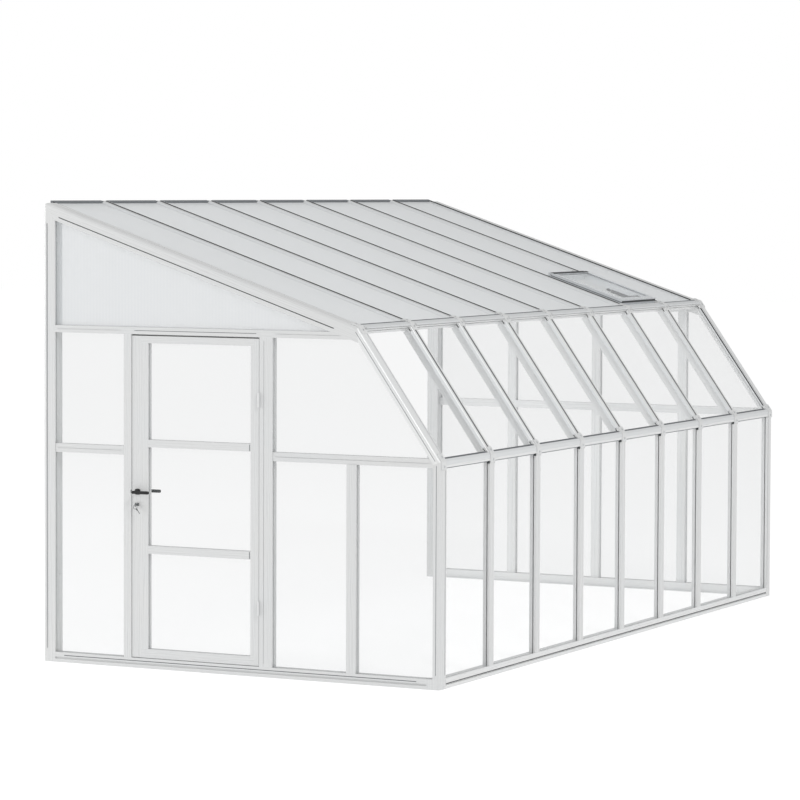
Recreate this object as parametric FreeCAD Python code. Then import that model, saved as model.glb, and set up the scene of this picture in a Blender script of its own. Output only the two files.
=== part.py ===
import FreeCAD, Part
import math
import os

os.makedirs("parts", exist_ok=True)
V = FreeCAD.Vector

# Lean-to sunroom with a hinged door in one gable and a hinged vent in the roof.
# Envelope in millimetres: X along the house wall, +Y towards the house, +Z up.
LENGTH = 5050.0
DEPTH = 2530.0
HEIGHT = 2640.0
EAVE_Z = 1240.0
KNEE_Z = 1963.0
KNEE_BACK = 511.0
BAYS = 8

# End frames: width along X, and depth of each member in from the outer line.
END_WIDE = 80.0
POST_DEEP = 42.0
STEEP_DEEP = 44.0
RAFTER_DEEP = 82.0
HOUSE_DEEP = 79.0
ARRIS = 18.0
PEAK_ROUND = 35.0
WALL = 4.0
WEB = 3.5
CORNER_PLUG = 130.0
OVERRUN = 200.0

# Lines scored in the outer faces, each given by its distance in from an edge.
SCORE_DEEP = 3.0
SCORE_WIDE = 3.0
CORNER_SCORE = 22.0
RAFTER_SCORE = 56.0
HOUSE_SCORE = 22.0
HEADER_SCORE = 19.5
HINGE_SCORE = 26.5
SCORE_STOP = 20.0

# Screws into the house wall.
WALL_SCREW_Z = (500.0, 2000.0)
WALL_SCREW_IN = 50.0
WALL_SCREW_R = 4.0

# Base rails, the feet at the corners and the ground anchors.
SILL_Z = 57.0
BASE_DEEP = 60.0
BASE_GROOVE = 6.0
BASE_GROOVE_Z = (19.0, 30.0)
FLANGE_WIDE = 20.0
FLANGE_THICK = 5.0
ANCHOR_R = 5.5
ANCHOR_Y = 950.0
ANCHOR_BAY = 2

# Glazing: flat panes in the walls, twin-wall panels in the roof and gable tops.
PANE = 4.0
PANE_OUT = 16.0
BEAD = 2.0
SLOT_CLEAR = 0.5
SLOT_DEEP = 14.0
BITE = 11.0
TOP_BITE = 8.0
EDGE_GAP = 3.0
TWIN = 8.0
TWIN_OUT = 12.5
TWIN_SEAT = 12.0
FLUTE = 200.0
FLUTE_WALL = 1.0

# Glazing bars, their snap-on caps and gaskets.
BAR_HALF = 30.0
NECK_HALF = 9.0
WALL_BAR_DEEP = 40.0
ROOF_BAR_DEEP = 62.0
LEDGE = 7.5
STEM_HALF = 22.0
STEM_WALL = 3.0
BAR_BEVEL = 3.0
CAP_THICK = 8.0
CAP_BEVEL = 2.0
LIP = 6.0
GASKET_WIDE = 8.0
GASKET_DEEP = 4.0
GASKET_PROUD = 2.0
GASKET_BEVEL = 2.0
GASKET_GAP = 1.0

# Rails along the length, the seal at the house and the clips over the joints.
EAVE_RAIL_Z = 1206.0
RAIL_DEEP = 45.0
EAVE_RISE = 16.0
EAVE_SEAT = 2.0
KNEE_DOWN = 24.0
KNEE_UP = 30.0
DRIP = 22.0
DRIP_THICK = 5.0
PLATE_DEEP = 60.0
PLATE_DROP = 80.0
HOUSE_CLEAR = 0.5
SEAL_WIDE = 18.0
SEAL_GAP = 1.0
CLIP_THICK = 6.0
CLIP_REACH = 50.0
CLIP_DROP = 10.0
CLIP_HALF = 28.0
CLIP_GAP = 3.0
CLIP_BEVEL = 3.0
CLIP_BEND = 20.0

# Gable ends, measured from the house side.
LATCH_JAMB = (538.0, 587.0)
HINGE_JAMB = (1413.0, 1495.0)
DOOR_END_MULLION = (1959.0, 2018.0)
FAR_PANELS = 4
MULLION_WIDE = 59.0
HEADER_Z = (1890.0, 1931.0)
MIDRAIL_Z = (1206.0, 1256.0)
MIDRAIL_SET = 4.0
JAMB_DEEP = 50.0
MULLION_DEEP = 44.0

# Door leaf.
LEAF_OUT = 4.0
LEAF_THICK = 38.0
LEAF_GAP = 4.0
LEAF_UNDER = 3.0
LEAF_OVER = 8.0
LEAF_WALL = 4.0
LOCK_STILE = 59.0
LOCK_BAR = 45.0
HINGE_STILE = 31.0
HINGE_BAR = 22.0
TOP_RAIL = 41.0
BOTTOM_RAIL = 51.0
MID_RAILS = ((652.0, 697.0), (1254.0, 1297.0))
DOOR_SLOT = 10.0
DOOR_PANE_GAP = 2.0
STOP = 12.0
STOP_GAP = 1.0

# Door hinges.
HINGE_Z = (383.0, 1543.0)
HINGE_TALL = 79.0
HINGE_PLATE = 1.4
HINGE_REACH = 34.0
HINGE_SET = 0.5
BARREL_R = 6.0
KNUCKLE = 13.0
KNUCKLE_GAP = 0.4
PIN_R = 3.0
RUN_CLEAR = 0.05

# Mortice lock: heights are measured down or up from the lever.
LEVER_Z = 1000.0
BACKSET = 36.0
CYLINDER_DROP = 72.0
CASE_RISE = 50.0
CASE_DROP = 120.0
CASE_HALF = 9.0
CASE_WALL = 1.5
CASE_BACK = 6.0
FOREND_OVER = 10.0
FOREND_HALF = 10.0
FOREND_THICK = 3.0
LATCH_THROW = 7.5
LATCH_TALL = 16.0
LATCH_LONG = 26.5
LATCH_BEVEL = (9.0, 6.0)
BOLT_DROP = 93.0
BOLT_TALL = 20.0
BOLT_THICK = 12.0
BOLT_LONG = 40.0
BOLT_BACK = 0.5
BOLT_THROW = 14.0
BOLT_CLEAR = 0.4
KEEP_CLEAR = 2.0
STRIKE_RISE = 30.0
STRIKE_DROP = 115.0
STRIKE_HALF = 15.0
STRIKE_THICK = 1.5

# Levers on a square spindle, with a rose on each face of the leaf.
SPINDLE = 8.0
SPINDLE_REACH = 34.0
SPINDLE_WAY = 6.0
HUB = 12.0
HUB_HALF = 6.5
NECK_R = 9.0
NECK_BITE = 4.0
NECK_GAP = 0.5
LEVER_LONG = 108.0
LEVER_TALL = 17.0
LEVER_THICK = 12.0
LEVER_OFF = 54.0
LEVER_HEEL = 1.0
LEVER_ROUNDS = (5.0, 8.0)
ROSE_HALF = 16.0
ROSE_THICK = 6.0
ROSE_BEVEL = 5.0

# Key cylinder and keys.
CYLINDER_R = 9.0
CYLINDER_CLEAR = 0.2
CYLINDER_OUT = 7.0
CYLINDER_IN = 5.0
PLUG_R = 5.0
PLUG_OUT = 8.0
PLUG_DEEP = 16.0
PLUG_END_GAP = 0.5
KEY_THICK = 2.0
KEYWAY = (4.0, 3.0)
KEYWAY_END = 4.0
KEY_SHANK = 16.0
BOW_SIDES = 8
KEY_BOW_R = 11.0
EYE_HALF = 3.0
EYE_OFF = 4.0
EYE_BITE = 0.3
EYE_OUT = 28.0
RING_R = 12.0
RING_HALF = 1.2
RING_SIDES = 20
SPARE_BOW_R = 9.0
SPARE_HALF = 3.0
SPARE_LONG = 34.0
SPARE_LEAN = 40.0

# Roof vent: places along the roof are measured up from the knee.
VENT_BAY = 6
VENT_S = (58.0, 585.0)
KERB_TOP = 4.0
KERB_BOTTOM = -30.0
KERB_GAP = 2.0
KERB_THICK = 18.0
KERB_LIP = 18.0
KERB_BITE = 9.0
KERB_HEAD = 38.0
KERB_INNER = (16.0, 14.0)
SASH_GAP = 0.5
SASH_TALL = 20.0
SASH_RIM = 22.0
SASH_FOOT = 40.0
SASH_SIDE = 4.0
SASH_LID = 4.0
SASH_BITE = 10.0
SASH_SLOT_GAP = 1.0
VENT_PIN_R = 4.0
VENT_PIN_OFF = 12.0
VENT_PIN_N = 14.0
SLEEVE_R = 7.0
SLEEVE_WEB = 4.0
SLEEVE_GAP = 2.0
EAR_WIDE = 10.0
EAR_HALF = 8.0

# Peg stay hung under the vent's foot.
STAY_OFF = 40.0
STAY_IN = 10.0
STAY_LONG = 190.0
STAY_HALF = 5.0
STAY_THICK = 6.0
STAY_PIN_R = 3.0
STAY_CLEAR = 1.0
PEG_HOLES = 2
PEG_FIRST = 90.0
PEG_STEP = 70.0
PEG_R = 2.5
BRACKET_LONG = 155.0
BRACKET_THICK = 4.0
BRACKET_GAP = 2.0
BRACKET_EAR = 4.0
BRACKET_EAR_HALF = 6.0

DOOR_X = -LENGTH / 2
FRONT_Y = -DEPTH / 2
HOUSE_Y = DEPTH / 2
PITCH = (LENGTH - END_WIDE) / BAYS
FOOT = BASE_DEEP + FLANGE_WIDE
SLOT_OUT = PANE_OUT - BEAD
SLOT_IN = PANE_OUT + PANE + SLOT_CLEAR
TWIN_IN = TWIN_OUT + TWIN
TWIN_SLOT_OUT = TWIN_OUT - SLOT_CLEAR
TWIN_SLOT_IN = TWIN_IN + SLOT_CLEAR


def bar_x(index):
    return DOOR_X + END_WIDE / 2 + index * PITCH


def outline(points, radii=None):
    """Closed wire through coplanar points; radii maps a corner's index to its round."""
    radii = radii or {}
    starts = []
    ends = []
    arcs = {}
    count = len(points)
    for i, corner in enumerate(points):
        radius = radii.get(i, 0.0)
        if radius == 0.0:
            starts.append(corner)
            ends.append(corner)
            continue
        back = (points[i - 1] - corner).normalize()
        ahead = (points[(i + 1) % count] - corner).normalize()
        half = back.getAngle(ahead) / 2
        middle = (back + ahead).normalize()
        reach = radius / math.tan(half)
        starts.append(corner + back * reach)
        ends.append(corner + ahead * reach)
        crown = corner + middle * (radius / math.sin(half) - radius)
        arcs[i] = Part.Arc(starts[i], crown, ends[i]).toShape()
    edges = []
    for i in range(count):
        if i in arcs:
            edges.append(arcs[i])
        after = starts[(i + 1) % count]
        edges.append(Part.makeLine(ends[i], after))
    return Part.Wire(edges)


def extrude(points, vector, radii=None, holes=()):
    wires = [outline(points, radii)]
    wires += [outline(hole) for hole in holes]
    return Part.makeFace(wires, "Part::FaceMakerBullseye").extrude(vector)


class Run:
    """One straight stretch of the outer line in the YZ plane: n is outwards, s along it."""

    def __init__(self, start, end):
        self.start = start
        self.length = math.dist(start, end)
        self.along = ((end[0] - start[0]) / self.length, (end[1] - start[1]) / self.length)
        self.out = (-self.along[1], self.along[0])

    def at(self, x, n, s):
        y = self.start[0] + self.along[0] * s + self.out[0] * n
        z = self.start[1] + self.along[1] * s + self.out[1] * n
        return V(x, y, z)

    def sweep(self, section, s0, s1, radii=None, holes=()):
        points = [self.at(x, n, s0) for x, n in section]
        inner = [[self.at(x, n, s0) for x, n in hole] for hole in holes]
        return extrude(points, self.at(0, 0, s1) - self.at(0, 0, s0), radii, inner)

    def block(self, x0, x1, n0, n1, s0, s1):
        return self.sweep([(x0, n0), (x1, n0), (x1, n1), (x0, n1)], s0, s1)

    def rod(self, radius, x0, x1, n, s):
        return rod(radius, self.at(x0, n, s), self.at(x1, n, s))


KNEE = (FRONT_Y + KNEE_BACK, KNEE_Z)
FRONT = Run((FRONT_Y, 0.0), (FRONT_Y, EAVE_Z))
STEEP = Run((FRONT_Y, EAVE_Z), KNEE)
ROOF = Run(KNEE, (HOUSE_Y, HEIGHT))
BACK = Run((HOUSE_Y, HEIGHT), (HOUSE_Y, 0.0))
KNEE_BEND = math.atan2(STEEP.along[1], STEEP.along[0]) - math.atan2(ROOF.along[1], ROOF.along[0])


def meet(first, first_n, second, second_n):
    """Point (y, z) where two runs cross, each moved along its own outward normal."""
    a = first.at(0, first_n, 0)
    b = second.at(0, second_n, 0)
    cross = first.along[0] * second.along[1] - first.along[1] * second.along[0]
    s = ((b.y - a.y) * second.along[1] - (b.z - a.z) * second.along[0]) / cross
    point = first.at(0, first_n, s)
    return (point.y, point.z)


def inside(bite):
    """Inner line of an end frame in (y, z), moved into its members by bite."""
    post = POST_DEEP - bite
    steep = STEEP_DEEP - bite
    rafter = RAFTER_DEEP - bite
    house = HOUSE_DEEP - bite
    eave = meet(FRONT, -post, STEEP, -steep)
    knee = meet(STEEP, -steep, ROOF, -rafter)
    peak = meet(ROOF, -rafter, BACK, -house)
    return [(FRONT_Y + post, 0.0), eave, knee, peak, (HOUSE_Y - house, 0.0)]


def prism(outline_yz, x0, x1, radii=None):
    return extrude([V(x0, y, z) for y, z in outline_yz], V(x1 - x0, 0, 0), radii)


def end_prism(outline_yz, radii=None):
    """Prism a little wider than the door end's frame, to trim its members with."""
    return prism(outline_yz, DOOR_X - 1, DOOR_X + END_WIDE + 1, radii)


def box(x0, x1, y0, y1, z0, z1):
    return Part.makeBox(x1 - x0, y1 - y0, z1 - z0, V(x0, y0, z0))


def end_box(w0, w1, y0, y1, z0, z1):
    """Box at the door end, w measured in from that end's outer face."""
    return box(DOOR_X + w0, DOOR_X + w1, y0, y1, z0, z1)


def centred(middle, half):
    return middle - half, middle + half


def rod(radius, start, end):
    return Part.makeCylinder(radius, (end - start).Length, start, end - start)


def mirrored(solid):
    return solid.mirror(V(0, 0, 0), V(1, 0, 0))


def both_ends(solid):
    return [solid, mirrored(solid)]


def save(name, solids):
    shape = solids[0] if len(solids) == 1 else Part.makeCompound(solids)
    shape.exportStep("parts/" + name + ".step")


# End frames

PANE_SLOT = (SLOT_OUT, SLOT_IN, SLOT_DEEP)
SIDE_SLOT = (SLOT_OUT, SLOT_IN, SLOT_DEEP + WALL)
TWIN_SLOT = (TWIN_SLOT_OUT, TWIN_SLOT_IN, SLOT_DEEP)
TWIN_SIDE_SLOT = (TWIN_SLOT_OUT, TWIN_SLOT_IN, SLOT_DEEP + WALL)
CHAMBER_W = (SLOT_IN + WEB, END_WIDE - SLOT_DEEP - 2 * WALL)


def end_section(depth, side_slot, inner_slot):
    """Section (x, n) of an end member: one slot along its inner side, one along its back."""
    edge = DOOR_X + END_WIDE
    section = [(DOOR_X, 0.0), (edge, 0.0)]
    if side_slot:
        out, into, deep = side_slot
        section += [(edge, -out), (edge - deep, -out), (edge - deep, -into), (edge, -into)]
    section += [(edge, -depth)]
    if inner_slot:
        out, into, deep = inner_slot
        section += [(DOOR_X + into, -depth), (DOOR_X + into, deep - depth)]
        section += [(DOOR_X + out, deep - depth), (DOOR_X + out, -depth)]
    return section + [(DOOR_X, -depth)]


def chamber(w0, w1, n0, n1):
    return [(DOOR_X + w0, -n0), (DOOR_X + w1, -n0), (DOOR_X + w1, -n1), (DOOR_X + w0, -n1)]


def mitred(run, section, hollow, corners, hollow_from, hollow_to):
    """Sweep a section along a run, hollow it and cut its ends on the mitre lines."""
    bar = run.sweep(section, -OVERRUN, run.length + OVERRUN, {0: ARRIS})
    bar = bar.cut(run.sweep(hollow, hollow_from, hollow_to))
    return bar.common(end_prism(corners))


def score(run, n, s0, s1):
    """Cutter for a line along a run in the door end's outer face."""
    return run.block(DOOR_X - 1, DOOR_X + SCORE_DEEP, -n - SCORE_WIDE, -n, s0, s1)


def corner_post():
    inner = inside(0.0)
    corners = [(FRONT_Y, SILL_Z), (FRONT_Y, EAVE_Z), inner[1], (inner[0][0], SILL_Z)]
    section = end_section(POST_DEEP, SIDE_SLOT, PANE_SLOT)
    hollow = chamber(*CHAMBER_W, WALL, POST_DEEP - WALL)
    bar = mitred(FRONT, section, hollow, corners, 0.0, FRONT.length - CORNER_PLUG)
    return bar.cut(score(FRONT, CORNER_SCORE, SILL_Z + SCORE_STOP, FRONT.length - SCORE_STOP))


def steep_rafter():
    inner = inside(0.0)
    corners = [(FRONT_Y, EAVE_Z), KNEE, inner[2], inner[1]]
    section = end_section(STEEP_DEEP, SIDE_SLOT, PANE_SLOT)
    hollow = chamber(*CHAMBER_W, WALL, STEEP_DEEP - WALL)
    bar = mitred(STEEP, section, hollow, corners, CORNER_PLUG, STEEP.length - CORNER_PLUG)
    return bar.cut(score(STEEP, CORNER_SCORE, SCORE_STOP, STEEP.length - SCORE_STOP))


def rounded_peak(solid):
    """Round the outer corner where the rafter meets the house post."""
    low = ROOF.at(0, 0, -OVERRUN)
    corners = [(HOUSE_Y, HEIGHT), (HOUSE_Y, 0.0), (low.y, 0.0), (low.y, low.z)]
    return solid.common(end_prism(corners, {0: PEAK_ROUND}))


def carried_on(run, slot, s0, s1):
    """Cutter that carries a run's side slot on into the member past its mitre."""
    out, into, deep = slot
    edge = DOOR_X + END_WIDE
    return run.block(edge - deep, edge + 1, -out, -into, s0, s1)


def roof_rafter():
    inner = inside(0.0)
    corners = [KNEE, (HOUSE_Y, HEIGHT), inner[3], inner[2]]
    section = end_section(RAFTER_DEEP, TWIN_SIDE_SLOT, TWIN_SLOT)
    hollow = chamber(*CHAMBER_W, WALL, RAFTER_DEEP - SLOT_DEEP - WALL)
    bar = mitred(ROOF, section, hollow, corners, CORNER_PLUG, ROOF.length - CORNER_PLUG)
    line = score(ROOF, RAFTER_SCORE, CORNER_PLUG, ROOF.length - CORNER_PLUG)
    pane_slot = carried_on(STEEP, SIDE_SLOT, STEEP.length - CORNER_PLUG, STEEP_TOP + SLOT_DEEP)
    return rounded_peak(bar).cut([line, pane_slot])


def house_post():
    inner = inside(0.0)
    corners = [(HOUSE_Y, HEIGHT), (HOUSE_Y, SILL_Z), (inner[4][0], SILL_Z), inner[3]]
    section = end_section(HOUSE_DEEP, None, None)
    chamber_end = WALL_SCREW_IN - WALL_SCREW_R - WALL
    hollow = chamber(SLOT_IN + WEB, chamber_end, WALL, HOUSE_DEEP - SLOT_DEEP - WALL)
    bar = rounded_peak(mitred(BACK, section, hollow, corners, CORNER_PLUG, BACK.length))
    face = HOUSE_Y - HOUSE_DEEP
    slot_end = face + SLOT_DEEP
    bar = bar.cut(end_box(SLOT_OUT, SLOT_IN, face, slot_end, SILL_Z, HEADER_Z[1]))
    bar = bar.cut(end_box(TWIN_SLOT_OUT, TWIN_SLOT_IN, face, slot_end, HEADER_Z[0], HEIGHT))
    bar = bar.cut(score(BACK, HOUSE_SCORE, CORNER_PLUG, BACK.length - SILL_Z - SCORE_STOP))
    bar = bar.cut(carried_on(ROOF, TWIN_SIDE_SLOT, ROOF.length - CORNER_PLUG, ROOF.length))
    for z in WALL_SCREW_Z:
        start = V(DOOR_X + WALL_SCREW_IN, face - 1, z)
        bar = bar.cut(rod(WALL_SCREW_R, start, start + V(0, HOUSE_DEEP + 2, 0)))
    return bar


# Base

ANCHOR_IN = BASE_DEEP + FLANGE_WIDE / 2


def base_section():
    """Section (depth in from the outer face, z) of a base rail."""
    low, high = BASE_GROOVE_Z
    shape = [(0.0, 0.0), (0.0, low), (BASE_GROOVE, low), (BASE_GROOVE, high), (0.0, high)]
    shape += [(0.0, SILL_Z), (BASE_DEEP, SILL_Z), (BASE_DEEP, FLANGE_THICK)]
    return shape + [(BASE_DEEP + FLANGE_WIDE, FLANGE_THICK), (BASE_DEEP + FLANGE_WIDE, 0.0)]


def base_hollow():
    out, back = SLOT_IN + WEB, BASE_DEEP - WALL
    low, high = FLANGE_THICK, SILL_Z - WALL
    return [(out, low), (back, low), (back, high), (out, high)]


def anchor_hole(x, y):
    return rod(ANCHOR_R, V(x, y, -1), V(x, y, FLANGE_THICK + 1))


def base_front():
    start = DOOR_X + FOOT
    points = [V(start, FRONT_Y + d, z) for d, z in base_section()]
    hollow = [V(start, FRONT_Y + d, z) for d, z in base_hollow()]
    rail = extrude(points, V(LENGTH - 2 * FOOT, 0, 0), None, [hollow])
    slot = box(DOOR_X, -DOOR_X, FRONT_Y + SLOT_OUT, FRONT_Y + SLOT_IN, SILL_Z - SLOT_DEEP, SILL_Z)
    rail = rail.cut(slot)
    for index in (ANCHOR_BAY, BAYS - ANCHOR_BAY):
        rail = rail.cut(anchor_hole(bar_x(index), FRONT_Y + ANCHOR_IN))
    return rail


def base_end(slots):
    start = FRONT_Y + FOOT
    points = [V(DOOR_X + d, start, z) for d, z in base_section()]
    hollow = [V(DOOR_X + d, start, z) for d, z in base_hollow()]
    rail = extrude(points, V(0, DEPTH - 2 * FOOT, 0), None, [hollow])
    for y0, y1 in slots:
        rail = rail.cut(end_box(SLOT_OUT, SLOT_IN, y0, y1, SILL_Z - SLOT_DEEP, SILL_Z))
    for y in (-ANCHOR_Y, ANCHOR_Y):
        rail = rail.cut(anchor_hole(DOOR_X + ANCHOR_IN, y))
    return rail


def foot(y0, y1, rounded_corner):
    """Corner block, open underneath, with one outer corner rounded."""
    x0, x1 = DOOR_X, DOOR_X + FOOT
    corners = [V(x0, y0, 0), V(x0, y1, 0), V(x1, y1, 0), V(x1, y0, 0)]
    block = extrude(corners, V(0, 0, SILL_Z), {rounded_corner: ARRIS})
    skin = SLOT_IN + WEB
    roof = SILL_Z - SLOT_DEEP - WALL
    return block.cut(end_box(skin, FOOT - WALL, y0 + skin, y1 - skin, -1.0, roof))


def corner_feet():
    low = SILL_Z - SLOT_DEEP
    front = foot(FRONT_Y, FRONT_Y + FOOT, 0)
    wall_slot_w = (END_WIDE - SLOT_DEEP - WALL, FOOT + 1)
    front = front.cut(end_box(*wall_slot_w, FRONT_Y + SLOT_OUT, FRONT_Y + SLOT_IN, low, SILL_Z))
    gable_slot_y = (FRONT_Y + POST_DEEP - SLOT_DEEP, FRONT_Y + FOOT + 1)
    front = front.cut(end_box(SLOT_OUT, SLOT_IN, *gable_slot_y, low, SILL_Z))
    house = foot(HOUSE_Y - FOOT, HOUSE_Y, 1)
    gable_slot_y = (HOUSE_Y - FOOT - 1, HOUSE_Y - HOUSE_DEEP + SLOT_DEEP)
    house = house.cut(end_box(SLOT_OUT, SLOT_IN, *gable_slot_y, low, SILL_Z))
    return both_ends(front) + both_ends(house)


# Long wall, eave and roof

def on_house_plane(n):
    """Distance up the roof at which a line n from the roof's face meets the house wall."""
    return ROOF.length + n * ROOF.out[0] / -ROOF.along[0]


RAIL_X0 = DOOR_X + END_WIDE
RAIL_SPAN = V(LENGTH - 2 * END_WIDE, 0, 0)
STEEP_TOP = STEEP.length - KNEE_DOWN
ROOF_TOP = ROOF.length - PLATE_DEEP
CAP_TOP = on_house_plane(-TWIN_OUT) - HOUSE_CLEAR
PANEL_LOW = KNEE_UP - TWIN_SEAT
PANEL_HIGH = on_house_plane(-TWIN_IN) - HOUSE_CLEAR


def bar_section(x, seat):
    """Section (x, n) of a glazing bar: neck, ledge for the glazing at depth seat, and stem."""
    under = seat + LEDGE
    right = [(x + NECK_HALF, -CAP_THICK), (x + NECK_HALF, -seat), (x + BAR_HALF, -seat)]
    right += [(x + BAR_HALF, -under), (x + STEM_HALF, -under), (x + STEM_HALF, -ROOF_BAR_DEEP)]
    left = [(2 * x - edge, n) for edge, n in reversed(right)]
    return right + left


def bar_hollow(x, seat):
    left = x - STEM_HALF + STEM_WALL
    right = x + STEM_HALF - STEM_WALL
    top = -seat - LEDGE
    low = STEM_WALL - ROOF_BAR_DEEP
    return [(left, top), (right, top), (right, low), (left, low)]


def wall_mullion(index):
    x = bar_x(index)
    right = [(x + BAR_HALF - BAR_BEVEL, 0.0), (x + BAR_HALF, -BAR_BEVEL)]
    right += [(x + BAR_HALF, -SLOT_OUT), (x + NECK_HALF, -SLOT_OUT)]
    right += [(x + NECK_HALF, -SLOT_IN), (x + BAR_HALF, -SLOT_IN), (x + BAR_HALF, -WALL_BAR_DEEP)]
    left = [(2 * x - edge, n) for edge, n in reversed(right)]
    half = BAR_HALF - WALL
    top, low = -SLOT_IN - WALL, WALL - WALL_BAR_DEEP
    hollow = [(x - half, top), (x + half, top), (x + half, low), (x - half, low)]
    return FRONT.sweep(right + left, SILL_Z, EAVE_RAIL_Z, None, [hollow])


def cap_bar(run, x, lip_to, s0, s1):
    """Snap-on cap with two lips and a gasket groove along its middle."""
    half = GASKET_WIDE / 2
    inner = BAR_HALF - LIP
    right = [(x + half, -GASKET_DEEP), (x + half, 0.0), (x + BAR_HALF - CAP_BEVEL, 0.0)]
    right += [(x + BAR_HALF, -CAP_BEVEL), (x + BAR_HALF, -lip_to)]
    right += [(x + inner, -lip_to), (x + inner, -CAP_THICK)]
    left = [(2 * x - edge, n) for edge, n in reversed(right)]
    return run.sweep(right + left, s0, s1)


def gasket(run, x, s0, s1):
    """Gasket pressed into a cap's groove, with a bevelled top that stands a little proud."""
    half = GASKET_WIDE / 2
    crown = half - GASKET_BEVEL
    section = [(x - half, -GASKET_DEEP), (x + half, -GASKET_DEEP), (x + half, 0.0)]
    section += [(x + crown, GASKET_PROUD), (x - crown, GASKET_PROUD), (x - half, 0.0)]
    return run.sweep(section, s0, s1)


def eave_gasket(index):
    end = CLIP_REACH + GASKET_GAP
    return gasket(STEEP, bar_x(index), end, STEEP.length - end)


def roof_gasket(index):
    return gasket(ROOF, bar_x(index), CLIP_REACH + GASKET_GAP, ROOF.length - SEAL_WIDE)


def eave_bar(index):
    x = bar_x(index)
    return STEEP.sweep(bar_section(x, SLOT_IN), EAVE_RISE, STEEP_TOP, None, [bar_hollow(x, SLOT_IN)])


def roof_bar(index):
    x = bar_x(index)
    bar = ROOF.sweep(bar_section(x, TWIN_IN), KNEE_UP, ROOF_TOP, None, [bar_hollow(x, TWIN_IN)])
    neck = ROOF.block(x - NECK_HALF, x + NECK_HALF, -CAP_THICK, -TWIN_IN, ROOF_TOP, PANEL_HIGH)
    return bar.fuse(neck).removeSplitter()


def eave_cap(index):
    return cap_bar(STEEP, bar_x(index), SLOT_OUT, EAVE_RISE, STEEP_TOP)


def roof_cap(index):
    return cap_bar(ROOF, bar_x(index), TWIN_SLOT_OUT, KNEE_UP, CAP_TOP)


def eave_rail():
    """Rail over the low wall: a pane slot below it and one for the steep glazing above."""
    top_in = STEEP.at(RAIL_X0, -RAIL_DEEP, EAVE_RISE)
    slot_out, slot_in = FRONT_Y + SLOT_OUT, FRONT_Y + SLOT_IN
    slot_top = EAVE_RAIL_Z + SLOT_DEEP
    points = [V(RAIL_X0, FRONT_Y, EAVE_RAIL_Z), V(RAIL_X0, FRONT_Y, EAVE_Z)]
    points += [STEEP.at(RAIL_X0, 0, EAVE_RISE), STEEP.at(RAIL_X0, -SLOT_OUT, EAVE_RISE)]
    points += [STEEP.at(RAIL_X0, -SLOT_OUT, EAVE_SEAT), STEEP.at(RAIL_X0, -SLOT_IN, EAVE_SEAT)]
    points += [STEEP.at(RAIL_X0, -SLOT_IN, EAVE_RISE), top_in, V(RAIL_X0, top_in.y, EAVE_RAIL_Z)]
    points += [V(RAIL_X0, slot_in, EAVE_RAIL_Z), V(RAIL_X0, slot_in, slot_top)]
    points += [V(RAIL_X0, slot_out, slot_top), V(RAIL_X0, slot_out, EAVE_RAIL_Z)]
    return extrude(points, RAIL_SPAN)


def knee_rail():
    """Rail at the knee: a slot below for the steep panes, one above for the roof panels."""
    deep = -RAIL_DEEP
    corner = meet(STEEP, deep, ROOF, deep)
    pane_end = STEEP_TOP + SLOT_DEEP
    points = [STEEP.at(RAIL_X0, 0, STEEP_TOP), V(RAIL_X0, *KNEE), ROOF.at(RAIL_X0, 0, KNEE_UP)]
    points += [ROOF.at(RAIL_X0, -TWIN_SLOT_OUT, KNEE_UP), ROOF.at(RAIL_X0, -TWIN_SLOT_OUT, PANEL_LOW)]
    points += [ROOF.at(RAIL_X0, -TWIN_SLOT_IN, PANEL_LOW), ROOF.at(RAIL_X0, -TWIN_SLOT_IN, KNEE_UP)]
    points += [ROOF.at(RAIL_X0, deep, KNEE_UP), V(RAIL_X0, *corner)]
    points += [STEEP.at(RAIL_X0, deep, STEEP_TOP), STEEP.at(RAIL_X0, -SLOT_IN, STEEP_TOP)]
    points += [STEEP.at(RAIL_X0, -SLOT_IN, pane_end), STEEP.at(RAIL_X0, -SLOT_OUT, pane_end)]
    points += [STEEP.at(RAIL_X0, -SLOT_OUT, STEEP_TOP)]
    lips = [drip_lip(bay) for bay in range(BAYS)]
    return extrude(points, RAIL_SPAN).fuse(lips).removeSplitter()


def drip_lip(bay):
    """Overhanging lip of the knee rail between two bars."""
    start, end = clear_of_bars(bay, CLIP_HALF + CLIP_GAP)
    root = STEEP.length - DRIP_THICK / math.sin(KNEE_BEND)
    points = [STEEP.at(start, 0, root), ROOF.at(start, -DRIP_THICK, -DRIP), ROOF.at(start, 0, -DRIP)]
    points += [V(start, *KNEE)]
    return extrude(points, V(end - start, 0, 0))


def clear_of_bars(bay, off):
    """X range between the bars of a bay, kept inside the end frames."""
    start = max(bar_x(bay) + off, RAIL_X0)
    end = min(bar_x(bay + 1) - off, -RAIL_X0)
    return start, end


def wall_plate():
    """Hollow plate along the house wall that carries the roof bars' upper ends."""
    front_top = ROOF.at(RAIL_X0, -TWIN_IN, ROOF_TOP)
    back_top = ROOF.at(RAIL_X0, -TWIN_IN, on_house_plane(-TWIN_IN))
    front_low = ROOF.at(RAIL_X0, -PLATE_DROP, ROOF_TOP)
    back_low = V(RAIL_X0, HOUSE_Y, front_low.z)
    face = Part.Face(outline([front_top, back_top, back_low, front_low]))
    ring = face.cut(face.makeOffset2D(-WALL))
    return ring.extrude(RAIL_SPAN).Solids[0]


def wall_seal(bay):
    start, end = clear_of_bars(bay, BAR_HALF + SEAL_GAP)
    low = ROOF.length - SEAL_WIDE
    points = [ROOF.at(start, -TWIN_OUT, low), ROOF.at(start, 0, low), ROOF.at(start, 0, ROOF.length)]
    points += [ROOF.at(start, -TWIN_OUT, on_house_plane(-TWIN_OUT))]
    return extrude(points, V(end - start, 0, 0))


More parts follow.
